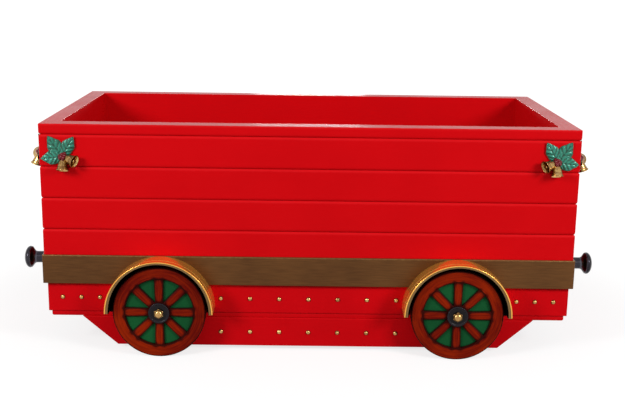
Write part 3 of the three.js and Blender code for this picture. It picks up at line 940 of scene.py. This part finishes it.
@dataclass
class Wheel:
    """One wooden wheel with its panel, hub and cap nut, built for the front and turned round."""

    side: Side
    hand: str
    felloe_width: float = 0.027
    felloe_ease: float = 0.0022
    spoke_count: int = 8
    spoke_foot: float = 0.0172  # width at the hub
    spoke_head: float = 0.0204  # width at the felloe
    spoke_recess: float = 0.0008
    nave_radius: float = 0.0225
    eye_radius: float = 0.0145  # of the hole round the hub's barrel
    segments: int = 144

    @property
    def corner(self) -> str:
        """The wheel's corner, as the frame names it."""
        return f"{self.side.label}_{self.hand}"

    @property
    def body(self) -> str:
        """The body that turns."""
        return f"{self.corner}_wheel"

    def place(self, points: Array) -> Array:
        """Moves points to the wheel.

        Args:
            points: places about the z axis, which runs outwards from the wagon's middle.

        Returns:
            The same places on the wagon.
        """
        low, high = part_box(self.body)
        front = np.stack([points[..., 0], -points[..., 2], points[..., 1]], axis=-1)
        centre = np.array([(low.x + high.x) / 2, 0, (low.z + high.z) / 2])
        return self.side.turn(front) + centre

    def reach(self, node: str) -> tuple[float, float]:
        """How far out from the wagon's middle a node of this wheel begins and ends."""
        low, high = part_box(f"{self.corner}_{node}")
        return min(abs(low.y), abs(high.y)), max(abs(low.y), abs(high.y))

    def build(self) -> None:
        """Makes the felloe, spokes, panel, hub and cap nut."""
        low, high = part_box(self.body)
        self.radius = (high.z - low.z) / 2
        self.inner = self.radius - self.felloe_width
        self.back, self.face = self.reach("wheel")
        self.panel_back, self.panel_face = self.reach("wheel_panel")
        self.felloe()
        self.spokes()
        self.panel()
        self.hub()
        self.cap_nut()

    def joint_shade(self, radius: Array, angle: Array) -> Array:
        """Dark glaze round each spoke's joint in the felloe, falling off over 8 mm.

        Args:
            radius: distance of each point from the axis.
            angle: angle of each point about it.

        Returns:
            Edge values from 0 to 1.
        """
        pitch = 2 * np.pi / self.spoke_count
        off = np.abs((angle + pitch / 2) % pitch - pitch / 2) * radius
        beside = np.exp(-(((off - self.spoke_head / 2) / 0.006) ** 2))
        return beside * np.exp(-(((radius - self.inner) / 0.008) ** 2))

    def felloe(self) -> None:
        """The wheel's rim, a turned ring with eased edges, darkest along them and at the joints."""
        ease, face, back = self.felloe_ease, self.face, self.back
        flats = np.linspace(self.inner + 0.006, self.radius - 0.006, 5)
        front = [(r, face, 0.0) for r in flats]
        path, edge = eased(
            [(self.inner, back, ease), (self.inner, face, ease), *front,
             (self.radius, face, ease), (self.radius, back, ease)],
            closed=True,
        )
        points = revolved(path, self.segments)
        radius = path[:, 0]
        angle = np.arctan2(points[..., 1], points[..., 0])
        gathered = 0.75 * np.exp(-(radius - self.inner) / 0.004)
        gathered += 0.7 * np.exp(-(self.radius - radius) / 0.0035)
        tone = np.clip(gathered + 0.5 * edge + 0.6 * self.joint_shade(radius, angle), 0, 1)
        across = np.broadcast_to(radius + path[:, 1], angle.shape)
        ring = self.radius / STRETCH
        grain = np.stack([ring * np.cos(angle), ring * np.sin(angle), across], axis=-1)
        grain += 0.4 * (self.side.value + len(self.hand))
        form = Form().grid(self.place(points), tone, grain, rows_close=True, columns_close=True)
        form.piece(f"{self.corner}_felloe", WHEEL_WOOD, f"{self.corner}_wheel", body=self.body)

    def spokes(self) -> None:
        """Eight spokes and the nave that they meet in.

        A spoke's half width grows evenly from foot to head, its face is crowned by 0.5 mm, and its
        glaze is darkest along its edges and towards its ends.
        """
        rows = 26
        foot, head = self.nave_radius - 0.006, self.inner + 0.004
        along = np.linspace(foot, head, rows)
        half = np.interp(along, [foot, head], [self.spoke_foot / 2, self.spoke_head / 2])
        top, bottom = self.face - self.spoke_recess, self.panel_face - JOINT
        crown, flat, chamfer = 0.0005, 0.66, 0.0012
        front = [(a, top - crown * a * a) for a in np.linspace(-flat, flat, 7)]
        sides = [(-1, bottom), (-1, top - crown)], [(1, top - crown), (1, bottom)]
        share, height = np.array([*sides[0], *front, *sides[1]]).T
        drop = np.array([0, -chamfer, *[0] * len(front), -chamfer, 0])
        share = np.where(np.abs(share) < 1, share / flat * 0.8 * 0.93, share)
        aside = half[:, None] * share
        outward = np.broadcast_to(height + drop, aside.shape)
        radial = np.broadcast_to(along[:, None], aside.shape)
        across = np.abs(share) ** 3
        ends = np.exp(-(along - self.nave_radius - 0.001) / 0.006)
        ends = ends + 0.9 * np.exp(-(self.inner - along) / 0.005)
        tone = np.clip(across + ends[:, None] + 0.03, 0, 1)
        turn = np.arange(self.spoke_count)[:, None, None] * 2 * np.pi / self.spoke_count
        points = np.stack(
            [
                radial * np.cos(turn) - aside * np.sin(turn),
                radial * np.sin(turn) + aside * np.cos(turn),
                np.broadcast_to(outward, (self.spoke_count, *outward.shape)),
            ],
            axis=-1,
        )
        grain = np.stack(
            [
                np.broadcast_to(radial / STRETCH, points.shape[:-1]) + turn,
                np.broadcast_to(aside, points.shape[:-1]) + self.side.value,
                points[..., 2],
            ],
            axis=-1,
        )
        form = Form().bar(self.place(points), tone, grain, end=1.0)
        eye, rim = self.eye_radius, self.nave_radius
        nave, _ = eased(
            [(eye, bottom, 0), (eye, self.face, 0), (rim, self.face, 0.001), (rim, bottom, 0)],
            closed=True,
        )
        form.grid(self.place(revolved(nave, 48)), 0.9, rows_close=True, columns_close=True)
        name = f"{self.corner}_spokes"
        form.piece(name, WHEEL_WOOD, f"{self.corner}_wheel", body=self.body, crease=50)

    def panel(self) -> None:
        """The painted disc behind the spokes, darker where it meets wood."""
        radii = np.concatenate([[self.eye_radius], np.linspace(0.02, self.inner - JOINT, 26)])
        rim = radii[-1]
        path = np.concatenate(
            [
                np.stack([radii, np.full_like(radii, self.panel_face)], axis=1),
                [[rim, self.panel_back], [radii[0], self.panel_back]],
            ]
        )
        points = revolved(path, self.segments * 2)
        radius = path[:, 0]
        angle = np.arctan2(points[..., 1], points[..., 0])
        pitch = 2 * np.pi / self.spoke_count
        off = np.abs((angle + pitch / 2) % pitch - pitch / 2)
        widths = [self.spoke_foot / 2, self.spoke_head / 2]
        half = np.interp(radius, [self.nave_radius, rim], widths)
        gap = np.minimum(radius * np.sin(off) - half, rim - radius)
        tone = np.exp(-np.clip(gap, 0, 1) / 0.0022)
        form = Form().grid(self.place(points), tone, rows_close=True, columns_close=True)
        name = f"{self.corner}_wheel_panel"
        form.piece(f"{name}_painted", GREEN_PAINT, name, body=self.body)

    def hub(self) -> None:
        """The flanged hub: a dished face in a raised ring, and the barrel behind it."""
        inner, outer = self.reach("hub")
        low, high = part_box(f"{self.corner}_hub")
        radius = (high.x - low.x) / 2
        bore, barrel, flange, ring, dish = 0.0064, 0.014, 0.006, 0.0028, 0.0015
        path, edge = eased(
            [
                (bore, inner, 0), (barrel, inner, 0.0006), (barrel, outer - flange + JOINT, 0),
                (radius, outer - flange + JOINT, 0.0006), (radius, outer, 0.0012),
                (radius - ring, outer, 0.0008), (radius - ring - dish, outer - dish, 0.0008),
                (bore, outer - dish, 0),
            ],
            closed=True, margin=0.0006,
        )
        # The eased edges and raised ring take the lacquer's lighter edge colour, a painted
        # highlight.
        points = self.place(revolved(path, 72))
        form = Form().grid(points, edge, rows_close=True, columns_close=True)
        name = f"{self.corner}_hub"
        form.piece(f"{name}_lacquered", BLACK_LACQUER, name, body=self.body)

    def cap_nut(self) -> None:
        """An acorn nut: a hexagon with its corners turned down, drawn in to a dome.

        The radius at an angle a is flat / cos(a') on the hexagon, a' being the angle from the
        nearest flat's middle, held under the turned-down corner. The dome is an ellipse, and a
        share from 1 to 0 leads from one to the other.
        """
        seat, tip = self.reach("cap_nut")
        low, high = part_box(f"{self.corner}_cap_nut")
        flat = min(high.x - low.x, high.z - low.z) / 2
        hexagon = 0.005
        rise = np.linspace(0, np.pi / 2, 10)
        dome = hexagon + (tip - seat - hexagon) * np.sin(rise)
        height = np.concatenate([[0, 0, 0.0005, 0.0042, hexagon], dome])
        share = np.array([1, 1, 1, 1, 0.55, 0.12, 0.05, *[0] * 8])
        scale = np.concatenate([[0.62, 0.95, 1.0, 1.0, 0.965], 0.9 * np.cos(rise)])
        segments = 96
        angle = np.arange(segments)[:, None] * 2 * np.pi / segments
        from_flat = (angle + np.pi / 6) % (np.pi / 3) - np.pi / 6
        hex_radius = np.minimum(1 / np.cos(from_flat), 1.115)
        radius = flat * scale * (share * hex_radius + (1 - share))
        out = np.broadcast_to(seat + height, radius.shape)
        points = np.stack([radius * np.cos(angle), radius * np.sin(angle), out], axis=-1)
        edge = np.array([1, 1, 0.8, 0.15, 0.6, 0.7, 0.35, 0.15, *[0.0] * 7])
        placed = self.place(points)
        form = Form().grid(placed, edge, rows_close=True).lid(placed[:, 0], 1.0)
        form.piece(f"{self.corner}_cap_nut_turned", BRASS, f"{self.corner}_cap_nut", crease=24)


@dataclass
class Axle:
    """One dead axle, right across the wagon."""

    hand: str

    def build(self) -> None:
        """A steel bar with chamfered ends."""
        low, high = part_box(f"{self.hand}_axle")
        radius, half = (high.z - low.z) / 2, high.y
        corners = [(0, -half, 0), (radius, -half, 0.001), (radius, half, 0.001), (0, half, 0)]
        path, edge = eased(corners)
        points = revolved(path, 32)
        centre = np.array([(low.x + high.x) / 2, 0, (low.z + high.z) / 2])
        grain = points * [1, 1, 1 / STRETCH]
        placed = points[..., [0, 2, 1]] + centre
        form = Form().grid(placed, edge, grain, rows_close=True)
        form.piece(f"{self.hand}_axle_bar", AXLE_STEEL, f"{self.hand}_axle")


@dataclass
class WheelArch:
    """A gilt half ring over a wheel, scribed to the boards behind it, with a black lining."""

    wheel: Wheel
    channel_depth: float = 0.0007
    score_depth: float = 0.0007  # of the line turned round its outside
    lining: float = 0.0007
    crown_thinning: float = 0.0026  # how much thinner the ring is at its crown than at its feet
    wall: float = 0.0085  # the ring's thickness at its feet
    barrel_hole: float = 0.0165  # radius that the lining leaves free round the hub's barrel
    set_back: float = 0.0016  # of the lining behind the ring's face
    overhang: float = 0.0080  # of the lining past the ring on the side of the wagon's end
    steps: int = 97

    def build(self) -> None:
        """Makes the ring and its lining."""
        corner = self.wheel.corner
        low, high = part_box(f"{corner}_wheel_arch")
        self.axis_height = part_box(self.wheel.body)[1].z / 2
        self.outer = high.z - self.axis_height
        self.inner = self.outer - self.wall
        self.face = max(abs(low.y), abs(high.y))
        self.belt_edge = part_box("front_belt_board")[0].z - JOINT
        self.belt_face = -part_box("front_belt_board")[0].y + JOINT
        self.sole_face = -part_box("front_sole_bar")[0].y + JOINT
        self.ring()
        self.black()

    def stations(self, radius: Array) -> tuple[Array, Array]:
        """Angles along the half ring for each radius, and how far out its back stands there.

        The back steps from the sole bar to the belt board where the ring passes the belt's lower
        edge, at the angle asin((edge - centre) / radius), so each radius has its own step.

        Args:
            radius: the radii.

        Returns:
            The angles and the backs, both (stations, radii).
        """
        share = np.linspace(0, 1, self.steps)[:, None]
        step = np.arcsin((self.belt_edge - self.axis_height) / radius)[None]
        low = share[::6] * step
        middle = step + share * (np.pi - 2 * step)
        angle = np.concatenate([low, middle, np.pi - low[::-1]])
        on_belt = np.concatenate([np.zeros(len(low)), np.ones(len(middle)), np.zeros(len(low))])
        back = np.where(on_belt > 0, self.belt_face, self.sole_face)[:, None]
        return angle, np.broadcast_to(back, angle.shape)

    def thinned(self, radius: Array, angle: Array) -> Array:
        """Radii grown towards the outer one by crown_thinning * sin^2(angle) of the ring's wall."""
        share = (self.outer - radius) / (self.outer - self.inner)
        return radius + self.crown_thinning * np.clip(share, 0, 1) * np.sin(angle) ** 2

    def swept(self, radius: Array, outward: Array, at_back: Array) -> tuple[Array, Array]:
        """Carries a section along the half ring.

        Args:
            radius: the section's radii.
            outward: how far out each of its points stands.
            at_back: which of them lie on the boards instead.

        Returns:
            The points, and how far along the ring each one is.
        """
        angle, back = self.stations(radius)
        out = np.where(at_back, back, outward)
        radius = self.thinned(radius, angle)
        points = np.stack([radius * np.cos(angle), radius * np.sin(angle), out], axis=-1)
        return points, angle * self.outer

    def ring(self) -> None:
        """The ring: polished outside, matt on its front, which has a fine channel round it."""
        inner, outer, face, depth = self.inner, self.outer, self.face, self.channel_depth
        score = self.score_depth
        path, edge = eased(
            [
                (inner, face - 0.02, 0), (inner, face, 0.0009),
                (inner + 0.0034, face, 0.0003), (inner + 0.0040, face - depth, 0.0003),
                (inner + 0.0047, face - depth, 0.0003), (inner + 0.0053, face, 0.0003),
                (outer, face, 0.0046), (outer, face - 0.0150, 0), (outer - score, face - 0.0157, 0),
                (outer, face - 0.0164, 0), (outer, face - 0.02, 0),
            ],
            margin=0.0006, steps=9,
        )
        radius, outward = path[:, 0], path[:, 1]
        matt = np.clip((outer - radius - 0.0018) / 0.0018, 0, 1)
        matt = np.where(radius < inner + 0.0002, 1.0, matt)
        radius = np.concatenate([[inner], radius, [outer]])
        outward = np.concatenate([[0], outward, [0]])
        matt = np.concatenate([[1.0], matt, [0.0]])
        at_back = np.zeros(len(radius), bool)
        at_back[[0, -1]] = True
        points, along = self.swept(radius, outward, at_back)
        section = np.concatenate([[0], np.cumsum(np.hypot(np.diff(radius), np.diff(outward)))])
        across = np.broadcast_to(section, along.shape)
        grain = np.stack([along / STRETCH, across, np.full_like(along, 3.0)], axis=-1)
        placed = self.wheel.place(points)
        form = Form().bar(placed, matt, grain, end=1.0)
        name = f"{self.wheel.corner}_wheel_arch"
        form.piece(f"{name}_gilded", GILT, name)

    def black(self) -> None:
        """The black lining under the ring, and the black half disc on the boards behind, which make
        the gap round the wheel black.
        """
        thick, face, hole = self.lining, self.face - self.set_back, self.barrel_hole
        under = self.inner - thick
        radius = np.array([self.inner, self.inner, under, under, hole, hole])
        outward = np.array([0, face, face, 0, 0, 0])
        at_back = np.array([True, False, False, True, True, True])
        lift = np.array([0, 0, 0, thick, thick, 0])
        angle, back = self.stations(np.full(6, self.inner))
        out = np.where(at_back, back + lift, outward)
        wide = np.where(radius > hole, self.thinned(radius, angle), radius)
        wide = np.where((radius > hole) & (radius < self.inner), wide - thick, wide)
        points = np.stack([wide * np.cos(angle), wide * np.sin(angle), out], axis=-1)
        placed = self.wheel.place(points)
        form = Form().bar(placed, 0.0)
        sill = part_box("base_board")[1].z - self.axis_height
        outward_hand = (-1 if self.wheel.hand == "left" else 1) * (1 - self.wheel.side.value)
        for hand in (-1, 1):
            end = self.inner + (self.overhang if hand == outward_hand else 0.0)
            x = np.array([hole, end, end, hole]) * hand
            corners = np.stack([x, np.array([0, 0, sill, sill])], axis=1)
            depth = self.sole_face + np.array([0, thick])[:, None]
            strip = np.concatenate(
                [np.broadcast_to(corners, (2, 4, 2)), np.broadcast_to(depth, (2, 4))[..., None]], -1
            )
            form.bar(self.wheel.place(strip), 0.0)
        form.piece(f"{self.wheel.corner}_arch_lining", BLACK_LINING)


@dataclass
class Buffer:
    """One turned buffer: shank, flare and domed head."""

    end: Side
    hand: str
    shank: float = 0.0135
    edge: float = 0.004
    dome: float = 0.0125
    flare: float = 0.008

    def build(self) -> None:
        """Turns the buffer from the belt board's face to its tip."""
        name = f"{self.end.label}_{self.hand}_buffer"
        low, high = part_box(name)
        radius = (high.z - low.z) / 2
        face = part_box("right_belt_board")[1].x
        reach = max(abs(low.x), abs(high.x)) - face
        back = reach - self.dome - self.edge
        turned, edge = eased(
            [
                (0, -0.004, 0), (self.shank, -0.004, 0), (self.shank, back - self.flare, 0.005),
                (radius - 0.001, back, 0.0012), (radius, back + self.edge, 0),
            ],
            margin=0.001,
        )
        rise = np.linspace(0, np.pi / 2, 20)
        crown = np.stack([radius * np.cos(rise), reach - self.dome * (1 - np.sin(rise))], axis=1)
        path = np.concatenate([turned[:-1], crown])
        edge = np.concatenate([edge[:-1], 0.5 * np.exp(-rise / 0.12)])
        sign = 1 if self.end is Side.RIGHT else -1
        origin = np.array([sign * face, (low.y + high.y) / 2, (low.z + high.z) / 2])
        points = aim(revolved(path, 72), origin, np.array([sign, 0, 0]))
        Form().grid(points, edge, rows_close=True).piece(f"{name}_turned", BLACKENED_METAL, name)


# ---- Holly --------------------------------------------------------------------------------------


@dataclass(frozen=True)
class Leaf:
    """A holly leaf: its tip from the corner and up from the plank's lower edge, and its size."""

    tip: tuple[float, float]
    width: float
    lift: float  # how far its base stands off the wall
    bend: float  # how far its midrib swings to one side
    veins: float = 5.0
    teeth: int = 3


@dataclass(frozen=True)
class Bell:
    """A bell: its crown and the way its mouth points, both as along, up and out of the wall."""

    crown: tuple[float, float, float]
    way: tuple[float, float, float]


@dataclass
class Sprig:
    """A holly sprig near one corner of a side: three leaves, a cluster of berries and two bells."""

    side: Side
    hand: int  # 0 at the side's left corner, 1 at its right one
    heart: tuple[float, float] = (0.0535, 0.024)
    berry_radius: float = 0.0042
    berry_count: int = 12
    berry_shift: tuple[float, float] = (0.0022, -0.0010)  # of the cluster from the heart
    cluster_radius: float = 0.0080
    bell_length: float = 0.023
    leaves: tuple[Leaf, ...] = (
        Leaf((0.0218, 0.0700), 0.0340, 0.0006, 0.0012),
        Leaf((0.0793, 0.0692), 0.0300, 0.0018, 0.0010),
        Leaf((0.0046, 0.0190), 0.0320, 0.0012, 0.0006),
    )
    bells: tuple[Bell, ...] = (
        Bell((0.0625, 0.0220, 0.0095), (0.86, -0.28, 0.38)),
        Bell((0.0560, 0.0170, 0.0108), (0.00, -0.93, 0.32)),
    )

    @property
    def name(self) -> str:
        """The sprig's node."""
        return f"{self.side.label}_{self.side.hands[self.hand]}_holly"

    def place(self, points: Array) -> Array:
        """Moves points to the sprig's corner.

        Args:
            points: places as along from the corner, up from the plank's lower edge and out.

        Returns:
            The same places on the wagon.
        """
        low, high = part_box("front_plank_4")
        run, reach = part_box("right_end_panel")[1].x, -low.y
        if self.side.is_end:
            run, reach = reach, run
        sign = 1 if self.hand else -1
        along, up, out = points[..., 0], points[..., 1], points[..., 2]
        front = [sign * (run - along), -reach - out, low.z - JOINT + up]
        return self.side.turn(np.stack(front, axis=-1))

    def build(self) -> None:
        """Makes the leaves, the berries and the bells."""
        self.make_leaves()
        self.make_berries()
        self.make_bells()

    def leaf(self, leaf: Leaf) -> tuple[Array, Array]:
        """One leaf as a closed plate with a modelled face.

        With u from base to tip and v from side to side, the half width is the leaf's own times
        0.62 + 0.38 * smoothstep(u / 0.5) up to u = 0.5, and 1 - t^1.45 past it, scalloped by the
        teeth. The face is crowned, creased along the midrib and ridged between slanting veins.

        Args:
            leaf: its measures.

        Returns:
            Points (rows, columns, 3) round the plate, and their edge values.
        """
        u = np.linspace(0, 1, 46)[:, None]
        v = np.linspace(-1, 1, 31)[None]
        start, tip = np.array(self.heart), np.array(leaf.tip)
        length = np.linalg.norm(tip - start)
        forward = (tip - start) / length
        aside = np.array([-forward[1], forward[0]])
        rise = np.clip(u / 0.5, 0, 1)
        grow = 0.62 + 0.38 * rise**2 * (3 - 2 * rise)
        fall = 1 - np.clip((u - 0.5) / 0.5, 0, 1) ** 1.45
        notch = 1 - np.abs(np.sin(np.pi * (leaf.teeth * u + 0.15)))
        half = leaf.width / 2 * grow * fall * (0.96 + 0.12 * notch * np.sin(np.pi * u))
        swing = leaf.bend * np.sin(np.pi * u)
        flat = start + forward * (length * u)[..., None] + aside * (swing + half * v)[..., None]
        spread = np.abs(v) + 0 * u
        rib = np.exp(-((v / 0.09) ** 2))
        vein = np.sin(2 * np.pi * (leaf.veins * u - 1.25 * spread))
        taper = np.sin(np.pi * np.clip(u * 0.92 + 0.06, 0, 1)) ** 0.5
        wave = np.sin(2 * np.pi * (2.2 * u + 0.3 * v))
        crown = 0.0024 * (1 - spread**2.6) + 0.0006 * wave * spread
        crimp = np.sin(2 * np.pi * (2.3 * leaf.veins * u + 0.4 * np.sin(3 * v))) * spread**2
        face = 0.0009 + taper * (
            crown + 0.00070 * vein * (1 - spread**4) + 0.00022 * crimp - 0.0010 * rib
        )
        top = leaf.lift + face + 0.0022 * u**2
        bottom = leaf.lift + 0.0004 + 0.0022 * u**2 + 0 * v
        upper = np.concatenate([flat, top[..., None]], axis=-1)
        lower = np.concatenate([flat, bottom[..., None]], axis=-1)[:, ::-1]
        # The edge colour in the veins, along the midrib and round the margin is painted shade; the
        # underside takes it fully.
        hollow = np.clip(0.62 - 0.62 * vein - 0.25 * crimp, 0, 1)
        hollow = hollow * (0.45 + 0.55 * spread) + 0.7 * rib
        hollow = np.clip(hollow + 1.3 * np.clip(spread - 0.86, 0, 1) / 0.14, 0, 1)
        points = np.concatenate([upper, lower], axis=1)
        edge = np.concatenate([np.broadcast_to(hollow, spread.shape), np.ones_like(spread)], axis=1)
        return points, edge

    def make_leaves(self) -> None:
        """All three leaves as one casting."""
        form = Form()
        for leaf in self.leaves:
            points, edge = self.leaf(leaf)
            placed = self.place(points)
            form.grid(placed, edge, points, columns_close=True).lid(placed[0], 1.0, points[0])
        form.piece(f"{self.name}_leaves", HOLLY_ENAMEL, self.name, crease=60)

    def make_berries(self) -> None:
        """A dome of berries, set out on a golden-angle spiral.

        Berry i stands at the height fraction h = 1 - (i + 0.35) / n of a half ellipsoid, turned by
        i times 2.4 radians.
        """
        number = np.arange(self.berry_count)
        height = 1 - (number + 0.35) / self.berry_count
        ring = np.sqrt(1 - height**2)
        turn = 2.399963 * number
        centres = np.stack(
            [
                self.heart[0] + self.berry_shift[0] + self.cluster_radius * ring * np.cos(turn),
                self.heart[1] + self.berry_shift[1] + self.cluster_radius * ring * np.sin(turn),
                0.0060 + 0.0105 * height,
            ],
            axis=-1,
        )
        rise = np.linspace(-np.pi / 2, np.pi / 2, 11)
        ball = revolved(np.stack([np.cos(rise), np.sin(rise)], axis=1), 18)
        points = centres[:, None, None] + ball * self.berry_radius
        core = ball * [0.0072, 0.0072, 0.0130] + [*self.heart, 0.0050]
        core[..., 2] = np.maximum(core[..., 2], 0.0004)
        # Painted shade: berries darken towards the cluster's heart, and the core under them is
        # fully dark.
        inward = np.clip(1.1 - np.linalg.norm(points - [*self.heart, 0.006], axis=-1) / 0.011, 0, 1)
        form = Form().grid(self.place(points), inward, rows_close=True)
        form.grid(self.place(core), 1.0, rows_close=True)
        form.piece(f"{self.name}_berries", BERRY_ENAMEL, self.name, crease=60)

    def make_bells(self) -> None:
        """Two hollow bells with thick lips, each with its clapper and the loop that it hangs by."""
        long = self.bell_length
        path, edge = eased(
            [
                (0, 0.0, 0), (0.0074, 0.0, 0.0034), (0.0094, 0.0050, 0.0026),
                (0.0114, 0.0135, 0.0040), (0.0130, long - 0.0032, 0.0024),
                (0.0149, long - 0.0012, 0.0008), (0.0152, long, 0.0005), (0.0138, long, 0.0005),
                (0.0118, long - 0.0034, 0.0024), (0.0102, 0.0135, 0.0040),
                (0.0084, 0.0054, 0.0026), (0.0066, 0.0012, 0.0020), (0, 0.0012, 0),
            ],
            steps=6, margin=0.0,
        )
        inside = np.arange(len(path)) > np.argmax(path[:, 1] + path[:, 0]) + 3
        # Inside the cup the edge colour deepens towards the crown: painted shade. Outside, a band
        # turned round the bell takes it too.
        tone = np.where(inside, np.clip(1.0 - path[:, 1] / long, 0.15, 0.8), 0.0)
        tone = np.where(~inside & (np.abs(path[:, 1] - 0.0155) < 0.0012), 0.75, tone)
        cup = revolved(path, 48)
        rise = np.linspace(-np.pi / 2, np.pi / 2, 13)
        size, wire = 0.0027, 0.0009  # radii of the clapper's ball and of the loop's wire
        ball_path = np.stack([size * np.cos(rise), size * np.sin(rise) + long - 0.0035], axis=1)
        ball = revolved(ball_path, 20)
        stem_path = np.array([[0.0008, 0.0010], [0.0008, long - 0.0040]])
        stem = revolved(stem_path, 10)
        turn = np.arange(28)[:, None] * 2 * np.pi / 28
        tube = np.arange(10)[None] * 2 * np.pi / 10
        hoop = 0.0026 + wire * np.cos(tube)
        thick = np.broadcast_to(wire * np.sin(tube), (28, 10))
        loop = np.stack([hoop * np.cos(turn), thick, hoop * np.sin(turn) - 0.0020], axis=-1)
        form = Form()
        for bell in self.bells:
            origin, way = np.array(bell.crown), np.array(bell.way)
            form.grid(self.place(aim(cup, origin, way)), tone, rows_close=True)
            form.grid(self.place(aim(ball, origin, way)), 0.2, rows_close=True)
            rod = self.place(aim(stem, origin, way))
            form.grid(rod, 0.5, rows_close=True).lid(rod[:, 0]).lid(rod[:, -1])
            form.grid(self.place(aim(loop, origin, way)), 0.4, rows_close=True, columns_close=True)
        form.piece(f"{self.name}_bells", BELL_METAL, self.name, crease=50)


# ---- Studio -------------------------------------------------------------------------------------


@dataclass(frozen=True)
class Softbox:
    """A square soft lamp: where it stands, where it points, its watts and its side."""

    name: str
    spot: tuple[float, float, float]
    target: tuple[float, float, float]
    power: float
    size: float

    def build(self) -> None:
        """Adds the lamp."""
        data = bpy.data.lights.new(self.name, "AREA")
        data.shape = "SQUARE"
        data.size = self.size
        data.energy = self.power
        lamp = bpy.data.objects.new(self.name, data)
        spot, target = Vector(self.spot), Vector(self.target)
        lamp.matrix_world = Matrix.Translation(spot) @ (
            (target - spot).to_track_quat("-Z", "Y").to_matrix().to_4x4()
        )
        bpy.context.scene.collection.objects.link(lamp)


@dataclass
class Studio:
    """Pale floor, soft lamps, white surroundings and the camera."""

    eye: tuple[float, float, float] = (-0.0098, -2.5547, 0.876)
    down: float = 0.2330  # pitch in radians
    yaw: float = 0.0071  # towards +X
    roll: float = 0.0138
    lens: float = 59.76
    ambient: float = 0.35
    softboxes: tuple[Softbox, ...] = (
        Softbox("softbox_left", (-1.9, -1.9, 1.42), (-0.2, 0.0, 0.3), 40.0, 0.72),
        Softbox("softbox_right", (1.9, -1.9, 1.42), (0.2, 0.0, 0.3), 40.0, 0.72),
        Softbox("softbox_back", (0.0, 2.3, 0.42), (0.0, 0.3, 0.25), 20.0, 0.5),
    )
    floor_colour: float = 0.3
    near_glow: float = 0.76  # what the floor adds to its own light near the wagon
    far_glow: float = 1.0

    def build(self) -> None:
        """Sets up everything that isn't the wagon."""
        bpy.context.scene.view_settings.view_transform = "Standard"
        self.camera()
        self.surroundings()
        self.floor()
        for softbox in self.softboxes:
            softbox.build()

    def camera(self) -> None:
        """Places the camera by its heading, pitch and roll."""
        heading = Vector((math.sin(self.yaw), math.cos(self.yaw), 0))
        forward = heading * math.cos(self.down) - Vector((0, 0, math.sin(self.down)))
        right = Vector((math.cos(self.yaw), -math.sin(self.yaw), 0))
        above = right.cross(forward)
        across = right * math.cos(self.roll) + above * math.sin(self.roll)
        up = above * math.cos(self.roll) - right * math.sin(self.roll)
        turn = Matrix((across, up, -forward)).transposed().to_4x4()
        data = bpy.data.cameras.new("camera")
        data.lens = self.lens
        data.sensor_width = 36
        camera = bpy.data.objects.new("camera", data)
        camera.matrix_world = Matrix.Translation(self.eye) @ turn
        bpy.context.scene.collection.objects.link(camera)
        bpy.context.scene.camera = camera

    @staticmethod
    def looked_at(recipe: Recipe) -> Socket:
        """Tells rays that look from rays that carry light.

        Args:
            recipe: the recipe that gets the nodes.

        Returns:
            1 for rays from the camera or from a mirror or glass, and 0 for the others.
        """
        path = recipe.node("ShaderNodeLightPath").outputs
        seen = recipe.math("MAXIMUM", path["Is Camera Ray"], path["Is Glossy Ray"])
        return recipe.math("MAXIMUM", seen, path["Is Transmission Ray"])

    def surroundings(self) -> None:
        """A white world that lights the wagon at the ambient level."""
        world = bpy.data.worlds.new("surroundings")
        bpy.context.scene.world = world
        world.use_nodes = True
        world.node_tree.nodes.clear()
        recipe = Recipe(world.node_tree)
        strength = recipe.step(self.looked_at(recipe), 0, 1, self.ambient, 1.0)
        white = {"Color": (1, 1, 1, 1), "Strength": strength}
        shade = recipe.node("ShaderNodeBackground", white)
        recipe.node("ShaderNodeOutputWorld", {"Surface": shade.outputs[0]})

    def floor(self) -> None:
        """A wide pale floor that shows white and keeps the wagon's shadow."""
        mesh = bpy.data.meshes.new("floor")
        half = 30.0
        corners = [(-half, -half, 0), (half, -half, 0), (half, half, 0), (-half, half, 0)]
        mesh.from_pydata(corners, [], [(0, 1, 2, 3)])
        pale = bpy.data.materials.new("pale_floor")
        pale.use_nodes = True
        pale.node_tree.nodes.clear()
        recipe = Recipe(pale.node_tree)
        matt = recipe.node(
            "ShaderNodeBsdfPrincipled",
            {
                "Base Color": (*[self.floor_colour] * 3, 1),
                "Roughness": 0.9,
                "Specular IOR Level": 0.0,
            },
        )
        away = recipe.node("ShaderNodeVectorMath", {0: recipe.place()}, operation="LENGTH")
        glow = recipe.step(away.outputs["Value"], 0.7, 1.5, self.near_glow, self.far_glow)
        light = recipe.node(
            "ShaderNodeEmission",
            {
                "Color": (1, 1, 1, 1),
                "Strength": recipe.math("MULTIPLY", self.looked_at(recipe), glow),
            },
        )
        both = recipe.node("ShaderNodeAddShader", {0: matt.outputs[0], 1: light.outputs[0]})
        recipe.node("ShaderNodeOutputMaterial", {"Surface": both.outputs[0]})
        mesh.materials.append(pale)
        floor = bpy.data.objects.new("floor", mesh)
        bpy.context.scene.collection.objects.link(floor)


# ---- Everything in order ------------------------------------------------------------------------


def main() -> None:
    """Builds the studio and the wagon's assemblies in order."""
    logging.basicConfig(level=logging.INFO, format="%(message)s")
    Studio().build()
    Box().build()
    Chassis().build()
    for side in (Side.FRONT, Side.BACK):
        for hand in ("left", "right"):
            wheel = Wheel(side, hand)
            wheel.build()
            WheelArch(wheel).build()
    for hand in ("left", "right"):
        Axle(hand).build()
    for end in (Side.LEFT, Side.RIGHT):
        for hand in ("front", "back"):
            Buffer(end, hand).build()
    for side in Side:
        for hand in (0, 1):
            Sprig(side, hand).build()


if __name__ == "__main__":
    main()
